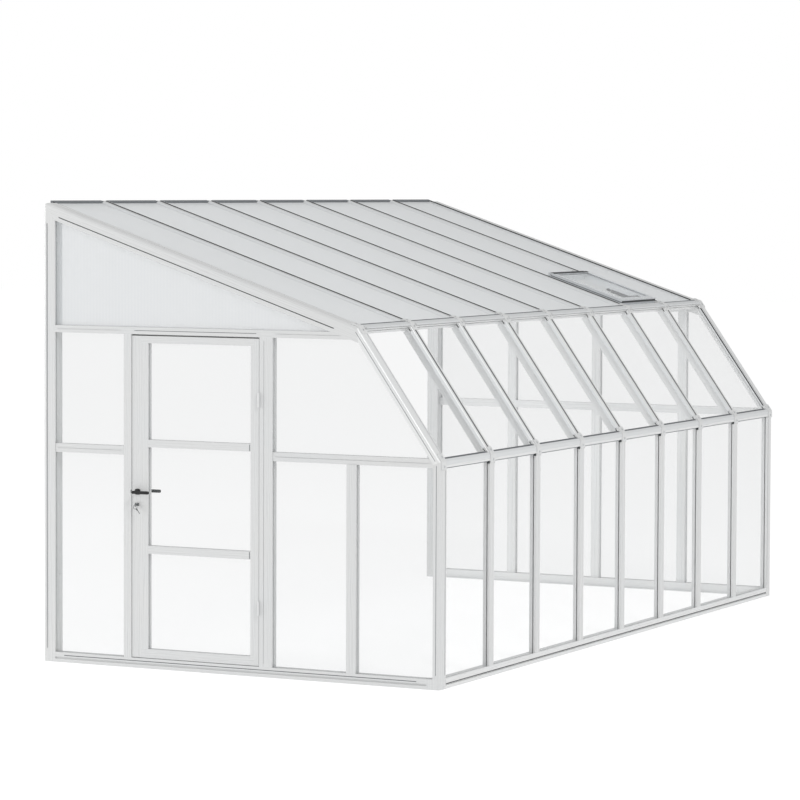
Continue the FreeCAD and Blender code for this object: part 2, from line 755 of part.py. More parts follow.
def clip(index, lower, lower_s, upper):
    """Bent clip over the joint of two runs at a bar, from lower_s below it to CLIP_REACH above."""
    x = bar_x(index) - CLIP_HALF
    outer = meet(lower, CLIP_THICK, upper, CLIP_THICK)
    points = [lower.at(x, 0, lower_s), upper.at(x, 0, 0), upper.at(x, 0, CLIP_REACH)]
    points += [upper.at(x, CLIP_THICK - CLIP_BEVEL, CLIP_REACH)]
    points += [upper.at(x, CLIP_THICK, CLIP_REACH - CLIP_BEVEL), V(x, *outer)]
    points += [lower.at(x, CLIP_THICK, lower_s + CLIP_BEVEL)]
    points += [lower.at(x, CLIP_THICK - CLIP_BEVEL, lower_s)]
    bend = 5
    return extrude(points, V(2 * CLIP_HALF, 0, 0), {bend: CLIP_BEND})


def eave_connector(index):
    return clip(index, FRONT, EAVE_RAIL_Z - CLIP_DROP, STEEP)


def knee_connector(index):
    return clip(index, STEEP, STEEP.length - CLIP_REACH, ROOF)


def glazing_x(bay):
    """X range of the glazing in a bay, clear of the necks and of the end frames' slots."""
    left = bar_x(bay) + NECK_HALF + EDGE_GAP
    right = bar_x(bay + 1) - NECK_HALF - EDGE_GAP
    end_seat = DOOR_X + END_WIDE - SLOT_DEEP - WALL + EDGE_GAP
    if bay == 0:
        left = end_seat
    if bay == BAYS - 1:
        right = -end_seat
    return left, right


def wall_pane(bay):
    left, right = glazing_x(bay)
    low, high = SILL_Z - SLOT_DEEP, EAVE_RAIL_Z + TOP_BITE
    return FRONT.block(left, right, -PANE_OUT, -PANE_OUT - PANE, low, high)


def eave_pane(bay):
    left, right = glazing_x(bay)
    return STEEP.block(left, right, -PANE_OUT, -PANE_OUT - PANE, EAVE_SEAT, STEEP_TOP + TOP_BITE)


def twin_wall(left, right, s0, s1, outer):
    """Twin-wall roof sheet: two skins joined by webs, with open flutes up the slope."""
    count = int((right - left) // FLUTE)
    step = (right - left - FLUTE_WALL) / count
    top = outer - FLUTE_WALL
    low = outer - TWIN + FLUTE_WALL
    flutes = []
    for i in range(count):
        a = left + FLUTE_WALL + i * step
        b = left + (i + 1) * step
        flutes.append([(a, top), (b, top), (b, low), (a, low)])
    section = [(left, outer), (right, outer), (right, outer - TWIN), (left, outer - TWIN)]
    return ROOF.sweep(section, s0, s1, None, flutes)


def roof_panels():
    panels = []
    for bay in range(BAYS):
        left, right = glazing_x(bay)
        if bay == VENT_BAY:
            panels.append(twin_wall(left, right, PANEL_LOW, KERB_LOW + KERB_BITE, -TWIN_OUT))
            panels.append(twin_wall(left, right, KERB_HIGH - KERB_BITE, PANEL_HIGH, -TWIN_OUT))
        else:
            panels.append(twin_wall(left, right, PANEL_LOW, PANEL_HIGH, -TWIN_OUT))
    return panels


# Gable ends

def from_house(pair):
    """Turn distances from the house side into (low y, high y)."""
    return HOUSE_Y - pair[1], HOUSE_Y - pair[0]


def far_mullion_y(index):
    """Low and high y of one of the far end's mullions, which divide the depth evenly."""
    return centred(HOUSE_Y - DEPTH * index / FAR_PANELS, MULLION_WIDE / 2)


def spaces(edges):
    """Pair up a falling list of edges into (low y, high y) spaces."""
    return [(edges[i + 1], edges[i]) for i in range(0, len(edges), 2)]


HOUSE_FACE = HOUSE_Y - HOUSE_DEEP
POST_FACE = FRONT_Y + POST_DEEP
LATCH_Y = from_house(LATCH_JAMB)
HINGE_Y = from_house(HINGE_JAMB)
DOOR_MULLION_Y = from_house(DOOR_END_MULLION)
FAR_MULLION_Y = [far_mullion_y(index) for index in range(1, FAR_PANELS)]
BESIDE_LATCH = (LATCH_Y[1], HOUSE_FACE)
DOOR_BAYS_LOW = [BESIDE_LATCH, (DOOR_MULLION_Y[1], HINGE_Y[0]), (POST_FACE, DOOR_MULLION_Y[0])]
DOOR_BAYS_HIGH = [BESIDE_LATCH, (POST_FACE, HINGE_Y[0])]
FAR_INNER_EDGES = [edge for low, high in FAR_MULLION_Y for edge in (high, low)]
FAR_BAYS = spaces([HOUSE_FACE] + FAR_INNER_EDGES + [POST_FACE])


def within(solid, bite):
    return solid.common(end_prism(inside(bite)))


def header(under):
    """Rail across a gable: a twin-wall slot above it and pane slots below the spaces in under."""
    low, high = HEADER_Z
    line = (low + HEADER_SCORE, low + HEADER_SCORE + SCORE_WIDE)
    bar = within(end_box(0.0, JAMB_DEEP, FRONT_Y, HOUSE_FACE, low, high), 0.0)
    bar = bar.cut(end_box(TWIN_SLOT_OUT, TWIN_SLOT_IN, FRONT_Y, HOUSE_FACE, high - TWIN_SEAT, high))
    for y0, y1 in slots_for(under):
        bar = bar.cut(end_box(SLOT_OUT, SLOT_IN, y0, y1, low, low + SLOT_DEEP))
    for y0, y1 in under + [(HINGE_Y[1], LATCH_Y[0])]:
        bar = bar.cut(end_box(-1.0, SCORE_DEEP, y0 + SCORE_STOP, y1 - SCORE_STOP, *line))
    hollow = end_box(SLOT_IN + WALL, JAMB_DEEP - WALL, FRONT_Y, HOUSE_Y, low + WALL, high - WALL)
    return bar.cut(hollow)


def upright(y0, y1, top, deep, slot_low, slot_high):
    """Vertical gable member with pane slots in its low-y and high-y sides."""
    bar = end_box(0.0, deep, y0, y1, SILL_Z, top)
    if slot_low:
        bar = bar.cut(end_box(SLOT_OUT, SLOT_IN, y0, y0 + SLOT_DEEP, SILL_Z, top))
    if slot_high:
        bar = bar.cut(end_box(SLOT_OUT, SLOT_IN, y1 - SLOT_DEEP, y1, SILL_Z, top))
    return bar.cut(end_box(SLOT_IN + WEB, deep - WALL, y0 + WALL, y1 - WALL, SILL_Z, top))


def latch_jamb():
    return upright(*LATCH_Y, HEADER_Z[0], JAMB_DEEP, False, True).cut(keeps(LATCH_Y[0]))


def keeps(face):
    """Cutters for the latch and the bolt in the jamb; the latch's is open on the outer side."""
    latch_deep = LATCH_THROW - LEAF_GAP + KEEP_CLEAR
    bolt_deep = BOLT_THROW - LEAF_GAP + KEEP_CLEAR
    half = BOLT_THICK / 2 + KEEP_CLEAR
    latch_z = centred(LEVER_Z, LATCH_TALL / 2 + KEEP_CLEAR)
    bolt_z = centred(BOLT_Z, BOLT_TALL / 2 + KEEP_CLEAR)
    latch = end_box(-1.0, LEAF_MID + half, face - STRIKE_THICK, face + latch_deep, *latch_z)
    bolt = end_box(LEAF_MID - half, LEAF_MID + half, face - STRIKE_THICK, face + bolt_deep, *bolt_z)
    return [latch, bolt]


def hinge_jamb():
    bar = upright(*HINGE_Y, HEADER_Z[0], JAMB_DEEP, True, False)
    line = HINGE_Y[1] - HINGE_SCORE
    ends = (SILL_Z + SCORE_STOP, HEADER_Z[0] - SCORE_STOP)
    return bar.cut(end_box(-1.0, SCORE_DEEP, line - SCORE_WIDE, line, *ends))


def midrail(y0, y1):
    low, high = MIDRAIL_Z
    bar = within(end_box(MIDRAIL_SET, MULLION_DEEP, y0, y1, low, high), 0.0)
    bar = bar.cut(end_box(SLOT_OUT, SLOT_IN, FRONT_Y, HOUSE_Y, low, low + SLOT_DEEP))
    bar = bar.cut(end_box(SLOT_OUT, SLOT_IN, FRONT_Y, HOUSE_Y, high - SLOT_DEEP, high))
    line = centred((low + high) / 2, SCORE_WIDE / 2)
    return bar.cut(end_box(0.0, MIDRAIL_SET + SCORE_DEEP, y0 + SCORE_STOP, y1 - SCORE_STOP, *line))


def gable_pane(y0, y1, z0, z1):
    sheet = end_box(PANE_OUT, PANE_OUT + PANE, y0 - BITE, y1 + BITE, z0 - SLOT_DEEP, z1 + TOP_BITE)
    return within(sheet, BITE)


def gable_panel():
    """Twin-wall sheet of a gable's top, with upright flutes."""
    low = HEADER_Z[1] - TWIN_SEAT
    left = POST_FACE
    right = HOUSE_FACE + BITE
    count = int((right - left) // FLUTE)
    step = (right - left - FLUTE_WALL) / count
    sheet = within(end_box(TWIN_OUT, TWIN_IN, left, right, low, HEIGHT), BITE)
    flutes = []
    for i in range(count):
        y0 = left + FLUTE_WALL + i * step
        y1 = left + (i + 1) * step
        flutes.append(end_box(TWIN_OUT + FLUTE_WALL, TWIN_IN - FLUTE_WALL, y0, y1, low - 1, HEIGHT))
    return sheet.cut(flutes)


def panes_for(low_bays, high_bays):
    low = [gable_pane(y0, y1, SILL_Z, MIDRAIL_Z[0]) for y0, y1 in low_bays]
    high = [gable_pane(y0, y1, MIDRAIL_Z[1], HEADER_Z[0]) for y0, y1 in high_bays]
    return low + high


def slots_for(bays):
    return [(y0 - SLOT_DEEP, y1 + SLOT_DEEP) for y0, y1 in bays]


def door_stops():
    out = LEAF_IN + STOP_GAP
    deep = out + STOP
    top = HEADER_Z[0]
    latch = end_box(out, deep, LATCH_Y[0] - STOP, LATCH_Y[0], SILL_Z, top)
    hinge = end_box(out, deep, HINGE_Y[1], HINGE_Y[1] + STOP, SILL_Z, top)
    head = end_box(out, deep, HINGE_Y[1] + STOP, LATCH_Y[0] - STOP, top - STOP, top)
    return [latch, hinge, head]


# Door leaf

LEAF_Y = (HINGE_Y[1] + LEAF_GAP, LATCH_Y[0] - LEAF_GAP)
LEAF_Z = (SILL_Z + LEAF_UNDER, HEADER_Z[0] - LEAF_OVER)
LEAF_IN = LEAF_OUT + LEAF_THICK
LEAF_MID = LEAF_OUT + LEAF_THICK / 2
STILE_Y = LEAF_Y[1] - LOCK_STILE
BAR_Y = STILE_Y - LOCK_BAR
HINGE_STILE_Y = LEAF_Y[0] + HINGE_STILE
HINGE_BAR_Y = HINGE_STILE_Y + HINGE_BAR
RAIL_LOW = (LEAF_Z[0], LEAF_Z[0] + BOTTOM_RAIL)
RAIL_HIGH = (LEAF_Z[1] - TOP_RAIL, LEAF_Z[1])
LOCK_Y = LEAF_Y[1] - BACKSET
CYLINDER_Z = LEVER_Z - CYLINDER_DROP
BOLT_Z = LEVER_Z - BOLT_DROP
CASE_Z = (LEVER_Z - CASE_DROP, LEVER_Z + CASE_RISE)
FOREND_Z = (CASE_Z[0] - FOREND_OVER, CASE_Z[1] + FOREND_OVER)
FOREND_W = centred(LEAF_MID, FOREND_HALF)


def leaf_box(y0, y1, z0, z1):
    return end_box(LEAF_OUT, LEAF_IN, y0, y1, z0, z1)


def leaf_slot(y0, y1, z0, z1):
    return end_box(SLOT_OUT, SLOT_IN, y0, y1, z0, z1)


def across_leaf(radius, z, w0, w1):
    """Round bar along X on the lock's line."""
    return rod(radius, V(DOOR_X + w0, LOCK_Y, z), V(DOOR_X + w1, LOCK_Y, z))


def leaf_hollow(y0, y1):
    return end_box(LEAF_OUT + LEAF_WALL, LEAF_IN - LEAF_WALL, y0, y1, *LEAF_Z)


def lock_stile():
    edge = LEAF_Y[1]
    bar = leaf_box(STILE_Y, edge, *LEAF_Z)
    bar = bar.cut(leaf_hollow(STILE_Y + LEAF_WALL, edge - FOREND_THICK))
    bar = bar.cut(end_box(*FOREND_W, edge - FOREND_THICK, edge, *FOREND_Z))
    bar = bar.cut(square_bar(SPINDLE_WAY, 0.0, LEAF_IN + 1))
    return bar.cut(across_leaf(CYLINDER_R + CYLINDER_CLEAR, CYLINDER_Z, 0.0, LEAF_IN + 1))


def hinge_stile():
    bar = leaf_box(LEAF_Y[0], HINGE_STILE_Y, *LEAF_Z)
    return bar.cut(leaf_hollow(LEAF_Y[0] + LEAF_WALL, HINGE_STILE_Y - LEAF_WALL))


def door_rails():
    slot_y = (HINGE_BAR_Y - DOOR_SLOT, BAR_Y + DOOR_SLOT)
    low = leaf_box(HINGE_STILE_Y, STILE_Y, *RAIL_LOW)
    low = low.cut(leaf_slot(*slot_y, RAIL_LOW[1] - DOOR_SLOT, RAIL_LOW[1]))
    high = leaf_box(HINGE_STILE_Y, STILE_Y, *RAIL_HIGH)
    high = high.cut(leaf_slot(*slot_y, RAIL_HIGH[0], RAIL_HIGH[0] + DOOR_SLOT))
    rails = [low, high]
    for z0, z1 in MID_RAILS:
        rail = leaf_box(HINGE_BAR_Y, BAR_Y, z0, z1)
        rail = rail.cut(leaf_slot(HINGE_BAR_Y, BAR_Y, z0, z0 + DOOR_SLOT))
        rails.append(rail.cut(leaf_slot(HINGE_BAR_Y, BAR_Y, z1 - DOOR_SLOT, z1)))
    return rails


def door_glazing_bars():
    low, high = RAIL_LOW[1], RAIL_HIGH[0]
    lock = leaf_box(BAR_Y, STILE_Y, low, high).cut(leaf_slot(BAR_Y, BAR_Y + DOOR_SLOT, low, high))
    hinge = leaf_box(HINGE_STILE_Y, HINGE_BAR_Y, low, high)
    hinge = hinge.cut(leaf_slot(HINGE_BAR_Y - DOOR_SLOT, HINGE_BAR_Y, low, high))
    return [lock, hinge]


def door_panes():
    side = DOOR_SLOT - DOOR_PANE_GAP
    pane_y = (HINGE_BAR_Y - side, BAR_Y + side)
    rail_edges = [edge for rail in MID_RAILS for edge in rail]
    edges = [RAIL_LOW[1]] + rail_edges + [RAIL_HIGH[0]]
    panes = []
    for i in range(0, len(edges), 2):
        low = edges[i] - DOOR_SLOT
        high = edges[i + 1] + DOOR_SLOT - EDGE_GAP
        panes.append(end_box(PANE_OUT, PANE_OUT + PANE, *pane_y, low, high))
    return panes


# Door hinges: the leaf's knuckle turns on a pin fixed in the jamb's two knuckles

PIN_X = DOOR_X - BARREL_R
PIN_Y = HINGE_Y[1] + LEAF_GAP / 2
PLATE_X = DOOR_X + HINGE_SET


def upright_rod(radius, z0, z1):
    return rod(radius, V(PIN_X, PIN_Y, z0), V(PIN_X, PIN_Y, z1))


def hinge_plate(y0, y1, z):
    return box(PLATE_X, DOOR_X + HINGE_REACH, y0, y1, *centred(z, HINGE_TALL / 2))


def knuckle(y0, y1, z0, z1):
    """Barrel and the web that ties it to its plate."""
    return [upright_rod(BARREL_R, z0, z1), box(PIN_X, PLATE_X, y0, y1, z0, z1)]


def door_hinge_leaf(z):
    y0, y1 = LEAF_Y[0] - HINGE_PLATE, LEAF_Y[0]
    leaf = hinge_plate(y0, y1, z).fuse(knuckle(y0, y1, *centred(z, KNUCKLE)))
    bore = upright_rod(PIN_R + RUN_CLEAR, *centred(z, HINGE_TALL))
    return leaf.cut(bore).removeSplitter()


def jamb_hinge_leaf(z):
    y0, y1 = HINGE_Y[1], HINGE_Y[1] + HINGE_PLATE
    low, high = centred(z, HINGE_TALL / 2)
    under, over = centred(z, KNUCKLE + KNUCKLE_GAP)
    pieces = [upright_rod(PIN_R, low, high)]
    pieces += knuckle(y0, y1, low, under) + knuckle(y0, y1, over, high)
    return hinge_plate(y0, y1, z).fuse(pieces).removeSplitter()


# Lock

def strike_plate():
    face = LATCH_Y[0]
    plate_w = centred(LEAF_MID, STRIKE_HALF)
    plate_z = (LEVER_Z - STRIKE_DROP, LEVER_Z + STRIKE_RISE)
    return end_box(*plate_w, face - STRIKE_THICK, face, *plate_z).cut(keeps(face))


def forend_hole(middle, tall):
    """Cutter for the latch or the bolt through the lock's forend."""
    hole_w = centred(LEAF_MID, BOLT_THICK / 2 + BOLT_CLEAR)
    hole_z = centred(middle, tall / 2 + BOLT_CLEAR)
    return end_box(*hole_w, LEAF_Y[1] - FOREND_THICK - 1, LEAF_Y[1] + 1, *hole_z)


def lock_case():
    inner_edge = LEAF_Y[1] - FOREND_THICK
    rear = STILE_Y + CASE_BACK
    forend = end_box(*FOREND_W, inner_edge, LEAF_Y[1], *FOREND_Z)
    case = end_box(*centred(LEAF_MID, CASE_HALF), rear, inner_edge, *CASE_Z)
    room_w = centred(LEAF_MID, CASE_HALF - CASE_WALL)
    room_z = (CASE_Z[0] + CASE_WALL, CASE_Z[1] - CASE_WALL)
    room = end_box(*room_w, rear + CASE_WALL, inner_edge, *room_z)
    body = forend.fuse(case.cut(room)).removeSplitter()
    body = body.cut([forend_hole(LEVER_Z, LATCH_TALL), forend_hole(BOLT_Z, BOLT_TALL)])
    body = body.cut(square_bar(SPINDLE_WAY, 0.0, LEAF_IN))
    half = CYLINDER_R + CYLINDER_CLEAR
    return body.cut(end_box(0.0, LEAF_IN, *centred(LOCK_Y, half), *centred(CYLINDER_Z, half)))


def lock_cylinder():
    body = across_leaf(CYLINDER_R, CYLINDER_Z, LEAF_OUT - CYLINDER_OUT, LEAF_IN + CYLINDER_IN)
    bore_end = LEAF_OUT + PLUG_DEEP + PLUG_END_GAP
    bore = across_leaf(PLUG_R + RUN_CLEAR, CYLINDER_Z, LEAF_OUT - PLUG_OUT, bore_end)
    return body.cut(bore)


def handle_rose(w0, w1):
    """Square rose with bevelled corners and the spindle's way through it."""
    x = DOOR_X + w0
    flat = ROSE_HALF - ROSE_BEVEL
    quarter = [(ROSE_HALF, -flat), (ROSE_HALF, flat), (flat, ROSE_HALF)]
    rim = quarter + [(-flat, ROSE_HALF), (-ROSE_HALF, flat), (-ROSE_HALF, -flat)]
    rim += [(-flat, -ROSE_HALF), (flat, -ROSE_HALF)]
    plate = extrude([V(x, LOCK_Y + y, LEVER_Z + z) for y, z in rim], V(w1 - w0, 0, 0))
    return plate.cut(square_bar(SPINDLE_WAY, w0 - 1, w1 + 1))


def handle_roses():
    outer = handle_rose(LEAF_OUT - ROSE_THICK, LEAF_OUT)
    inner = handle_rose(LEAF_IN, LEAF_IN + ROSE_THICK)
    return [outer, inner]


def square_bar(half, w0, w1):
    """Square bar along X on the lever's axis."""
    return end_box(w0, w1, *centred(LOCK_Y, half), *centred(LEVER_Z, half))


def lever():
    """Outer lever: a flat bar with rounded ends on a round neck, socketed for the spindle."""
    y1 = LOCK_Y + NECK_R + LEVER_HEEL
    y0 = y1 - LEVER_LONG
    z0, z1 = centred(LEVER_Z, LEVER_TALL / 2)
    w0 = LEAF_OUT - LEVER_OFF
    x = DOOR_X + w0
    tip_round, heel_round = LEVER_ROUNDS
    corners = [V(x, y0, z0), V(x, y1, z0), V(x, y1, z1), V(x, y0, z1)]
    rounds = {0: tip_round, 1: heel_round, 2: heel_round, 3: tip_round}
    bar = extrude(corners, V(LEVER_THICK, 0, 0), rounds)
    neck = across_leaf(NECK_R, LEVER_Z, w0 + NECK_BITE, LEAF_OUT - ROSE_THICK - NECK_GAP)
    socket = square_bar(SPINDLE / 2, LEAF_OUT - SPINDLE_REACH, LEAF_OUT)
    return bar.fuse(neck).cut(socket).removeSplitter()


def lever_inner():
    return lever().mirror(V(DOOR_X + LEAF_MID, 0, 0), V(1, 0, 0))


def lever_spindle():
    bar = square_bar(SPINDLE / 2, LEAF_OUT - SPINDLE_REACH, LEAF_IN + SPINDLE_REACH)
    hub = square_bar(HUB / 2, *centred(LEAF_MID, HUB_HALF))
    return bar.fuse(hub).removeSplitter()


def latch_bolt():
    tip = LEAF_Y[1] + LATCH_THROW
    rear = tip - LATCH_LONG
    bevel_x, bevel_y = LATCH_BEVEL
    x0, x1 = centred(DOOR_X + LEAF_MID, BOLT_THICK / 2)
    z0 = LEVER_Z - LATCH_TALL / 2
    corners = [V(x0, rear, z0), V(x1, rear, z0), V(x1, tip - bevel_y, z0)]
    corners += [V(x1 - bevel_x, tip, z0), V(x0, tip, z0)]
    return extrude(corners, V(0, 0, LATCH_TALL))


def dead_bolt():
    tip = LEAF_Y[1] - BOLT_BACK
    bolt_w = centred(LEAF_MID, BOLT_THICK / 2)
    return end_box(*bolt_w, tip - BOLT_LONG, tip, *centred(BOLT_Z, BOLT_TALL / 2))


# Keys: one in the cylinder, a second hanging from it on a ring

EYE_X = DOOR_X + LEAF_OUT - EYE_OUT
EYE_SEAT = EYE_HALF - EYE_BITE
RING_Z = CYLINDER_Z - EYE_SEAT + RING_HALF - RING_R


def key_slab(w0, w1):
    """Flat bar in the keyway from w0 to w1."""
    below, above = KEYWAY
    return end_box(w0, w1, *centred(LOCK_Y, KEY_THICK / 2), CYLINDER_Z - below, CYLINDER_Z + above)


def key_plug():
    plug = across_leaf(PLUG_R, CYLINDER_Z, LEAF_OUT - PLUG_OUT, LEAF_OUT + PLUG_DEEP)
    return plug.cut(key_slab(LEAF_OUT - PLUG_OUT - 1, LEAF_OUT + PLUG_DEEP - KEYWAY_END))


def sided(radius, sides):
    """Corners (across, up) of a regular plate centred on its own axis."""
    turns = [2 * math.pi * (i + 0.5) / sides for i in range(sides)]
    return [(radius * math.cos(turn), radius * math.sin(turn)) for turn in turns]


def key_bow(radius, x, z):
    """Many-sided bow of a key, upright in the plane of its blade."""
    y = LOCK_Y - KEY_THICK / 2
    corners = [V(x + across, y, z + up) for across, up in sided(radius, BOW_SIDES)]
    return extrude(corners, V(0, KEY_THICK, 0))


def key_eye(x, z):
    """Cutter for the square eye that the ring goes through."""
    return box(*centred(x, EYE_HALF), *centred(LOCK_Y, KEY_THICK), *centred(z, EYE_HALF))


def key_in_lock():
    blade = key_slab(LEAF_OUT - KEY_SHANK, LEAF_OUT + PLUG_DEEP - KEYWAY_END)
    bow = key_bow(KEY_BOW_R, EYE_X + EYE_OFF, CYLINDER_Z)
    return blade.fuse(bow).cut(key_eye(EYE_X, CYLINDER_Z)).removeSplitter()


def key_ring():
    """Flat ring through both keys' eyes."""
    x = EYE_X - RING_HALF
    rims = []
    for radius in (RING_R + RING_HALF, RING_R - RING_HALF):
        rims.append([V(x, LOCK_Y + across, RING_Z + up) for across, up in sided(radius, RING_SIDES)])
    return extrude(rims[0], V(2 * RING_HALF, 0, 0), None, [rims[1]])


def spare_key():
    """Second key hanging on the ring, swung towards the hinge side of the door."""
    eye_z = RING_Z - RING_R + RING_HALF - EYE_SEAT
    bow = key_bow(SPARE_BOW_R, EYE_X, eye_z - EYE_OFF)
    blade_x = centred(EYE_X, SPARE_HALF)
    blade = box(*blade_x, *centred(LOCK_Y, KEY_THICK / 2), eye_z - SPARE_LONG, eye_z - SPARE_BOW_R)
    key = bow.fuse(blade).cut(key_eye(EYE_X, eye_z)).removeSplitter()
    key.rotate(V(EYE_X, LOCK_Y, RING_Z), V(1, 0, 0), -SPARE_LEAN)
    return key


# Roof vent

VENT_LEFT = bar_x(VENT_BAY) + BAR_HALF
VENT_RIGHT = bar_x(VENT_BAY + 1) - BAR_HALF
KERB_LOW = VENT_S[0] - KERB_LIP
KERB_HIGH = VENT_S[1] + KERB_HEAD
OPEN_S = (VENT_S[0] + KERB_INNER[0], VENT_S[1] - KERB_INNER[1])
VENT_PIN_S = VENT_S[1] + VENT_PIN_OFF
SASH_X = (VENT_LEFT + SASH_SIDE, VENT_RIGHT - SASH_SIDE)
SASH_LIGHT = (SASH_X[0] + SASH_RIM, SASH_X[1] - SASH_RIM)
SASH_LIGHT_S = (VENT_S[0] + SASH_FOOT, VENT_S[1] - SASH_RIM)
SASH_N = (KERB_TOP + SASH_GAP, KERB_TOP + SASH_GAP + SASH_TALL)
SASH_PANEL_N = SASH_N[1] - SASH_LID


def kerb_side(edge, side):
    """Side of the kerb: an upstand with a tongue that sits in the roof bar's slot."""
    outer = edge + side * KERB_GAP
    inner = outer + side * KERB_THICK
    tongue = edge - side * (BAR_HALF - NECK_HALF - EDGE_GAP)
    section = [(outer, KERB_TOP), (inner, KERB_TOP), (inner, KERB_BOTTOM), (outer, KERB_BOTTOM)]
    section += [(outer, -TWIN_IN), (tongue, -TWIN_IN), (tongue, -TWIN_OUT), (outer, -TWIN_OUT)]
    return ROOF.sweep(section, *OPEN_S)


def kerb_cross(lip, opening, side):
    """Top or bottom of the kerb, with a slot for the roof panel's cut edge."""
    span = (VENT_LEFT + KERB_GAP, VENT_RIGHT - KERB_GAP)
    body = lip - side * KERB_LIP
    bar = ROOF.block(*span, KERB_TOP, KERB_BOTTOM, *sorted((body, opening)))
    lips_s = sorted((lip, body))
    upper = ROOF.block(*span, WALL - TWIN_OUT, -TWIN_OUT, *lips_s)
    lower = ROOF.block(*span, -TWIN_IN, -TWIN_IN - WALL, *lips_s)
    return bar.fuse([upper, lower]).removeSplitter()


def kerb_top():
    """Top of the kerb with two ears and the hinge rod between them."""
    left, right = SASH_X
    ear_top = VENT_PIN_N + SLEEVE_R
    ear_s = centred(VENT_PIN_S, EAR_HALF)
    near = ROOF.block(left, left + EAR_WIDE, KERB_TOP, ear_top, *ear_s)
    far = ROOF.block(right - EAR_WIDE, right, KERB_TOP, ear_top, *ear_s)
    pin = ROOF.rod(VENT_PIN_R, left, right, VENT_PIN_N, VENT_PIN_S)
    return kerb_cross(KERB_HIGH, OPEN_S[1], 1).fuse([near, far, pin]).removeSplitter()


def vent_kerb():
    left = kerb_side(VENT_LEFT, 1)
    right = kerb_side(VENT_RIGHT, -1)
    return [left, right, kerb_cross(KERB_LOW, OPEN_S[0], -1), kerb_top()]


def sash_slot():
    """Cutter for the groove around the sash that holds its panel."""
    deep = SASH_BITE + SASH_SLOT_GAP
    slot_x = (SASH_LIGHT[0] - deep, SASH_LIGHT[1] + deep)
    slot_s = (SASH_LIGHT_S[0] - deep, SASH_LIGHT_S[1] + deep)
    slot_n = (SASH_PANEL_N + SLOT_CLEAR, SASH_PANEL_N - TWIN - SLOT_CLEAR)
    return ROOF.block(*slot_x, *slot_n, *slot_s)


def vent_head():
    """Top rim of the sash with the sleeve that turns on the hinge rod."""
    left, right = SASH_X
    rim = ROOF.block(left, right, *SASH_N, SASH_LIGHT_S[1], VENT_S[1])
    x0, x1 = left + EAR_WIDE + SLEEVE_GAP, right - EAR_WIDE - SLEEVE_GAP
    sleeve = ROOF.rod(SLEEVE_R, x0, x1, VENT_PIN_N, VENT_PIN_S)
    web = ROOF.block(x0, x1, *centred(VENT_PIN_N, SLEEVE_WEB), VENT_S[1], VENT_PIN_S)
    bore = ROOF.rod(VENT_PIN_R + RUN_CLEAR, left, right, VENT_PIN_N, VENT_PIN_S)
    return rim.fuse([web, sleeve]).cut(bore).removeSplitter()


def vent_frame():
    near = ROOF.block(SASH_X[0], SASH_LIGHT[0], *SASH_N, *SASH_LIGHT_S)
    far = ROOF.block(SASH_LIGHT[1], SASH_X[1], *SASH_N, *SASH_LIGHT_S)
    foot_rim = ROOF.block(*SASH_X, *SASH_N, VENT_S[0], SASH_LIGHT_S[0])
    return [rim.cut(sash_slot()) for rim in (near, far, foot_rim, vent_head())]


def vent_panel():
    left, right = SASH_LIGHT[0] - SASH_BITE, SASH_LIGHT[1] + SASH_BITE
    low = SASH_LIGHT_S[0] - SASH_BITE - SASH_SLOT_GAP
    return twin_wall(left, right, low, SASH_LIGHT_S[1] + SASH_BITE, SASH_PANEL_N)


STAY_X = (VENT_LEFT + VENT_RIGHT) / 2 + STAY_OFF
STAY_S = SASH_LIGHT_S[0] - STAY_IN
BRACKET_UNDER = SASH_N[0] - BRACKET_THICK
STAY_N = BRACKET_UNDER - STAY_CLEAR - STAY_HALF
BRACKET_EAR_X = STAY_THICK / 2 + STAY_CLEAR


def stay_bracket():
    """Bar under the sash's foot with two ears and the stay's pivot pin."""
    left = STAY_X - BRACKET_EAR_X - BRACKET_EAR
    right = STAY_X + BRACKET_EAR_X + BRACKET_EAR
    bar_s = (OPEN_S[0] + BRACKET_GAP, SASH_LIGHT_S[0])
    bar = ROOF.block(left, left + BRACKET_LONG, SASH_N[0], BRACKET_UNDER, *bar_s)
    ear_s = centred(STAY_S, BRACKET_EAR_HALF)
    ear_low = STAY_N - BRACKET_EAR_HALF
    near = ROOF.block(left, left + BRACKET_EAR, BRACKET_UNDER, ear_low, *ear_s)
    far = ROOF.block(right - BRACKET_EAR, right, BRACKET_UNDER, ear_low, *ear_s)
    pin = ROOF.rod(STAY_PIN_R, left, right, STAY_N, STAY_S)
    return bar.fuse([near, far, pin]).removeSplitter()


def stay_arm():
    """Flat arm with peg holes, pivoted between the bracket's ears."""
    x0, x1 = centred(STAY_X, STAY_THICK / 2)
    boss = ROOF.rod(STAY_HALF, x0, x1, STAY_N, STAY_S)
    bar = ROOF.block(x0, x1, *centred(STAY_N, STAY_HALF), STAY_S, STAY_S + STAY_LONG)
    arm = boss.fuse(bar).cut(ROOF.rod(STAY_PIN_R + RUN_CLEAR, x0 - 1, x1 + 1, STAY_N, STAY_S))
    for step in range(PEG_HOLES):
        s = STAY_S + PEG_FIRST + PEG_STEP * step
        arm = arm.cut(ROOF.rod(PEG_R, x0 - 1, x1 + 1, STAY_N, s))
    return arm.removeSplitter()


BETWEEN = range(1, BAYS)
ALL_BARS = range(BAYS + 1)
DOOR_MULLION = upright(*DOOR_MULLION_Y, MIDRAIL_Z[0], MULLION_DEEP, True, True)
FAR_UPRIGHTS = [upright(*y, HEADER_Z[0], MULLION_DEEP, True, True) for y in FAR_MULLION_Y]

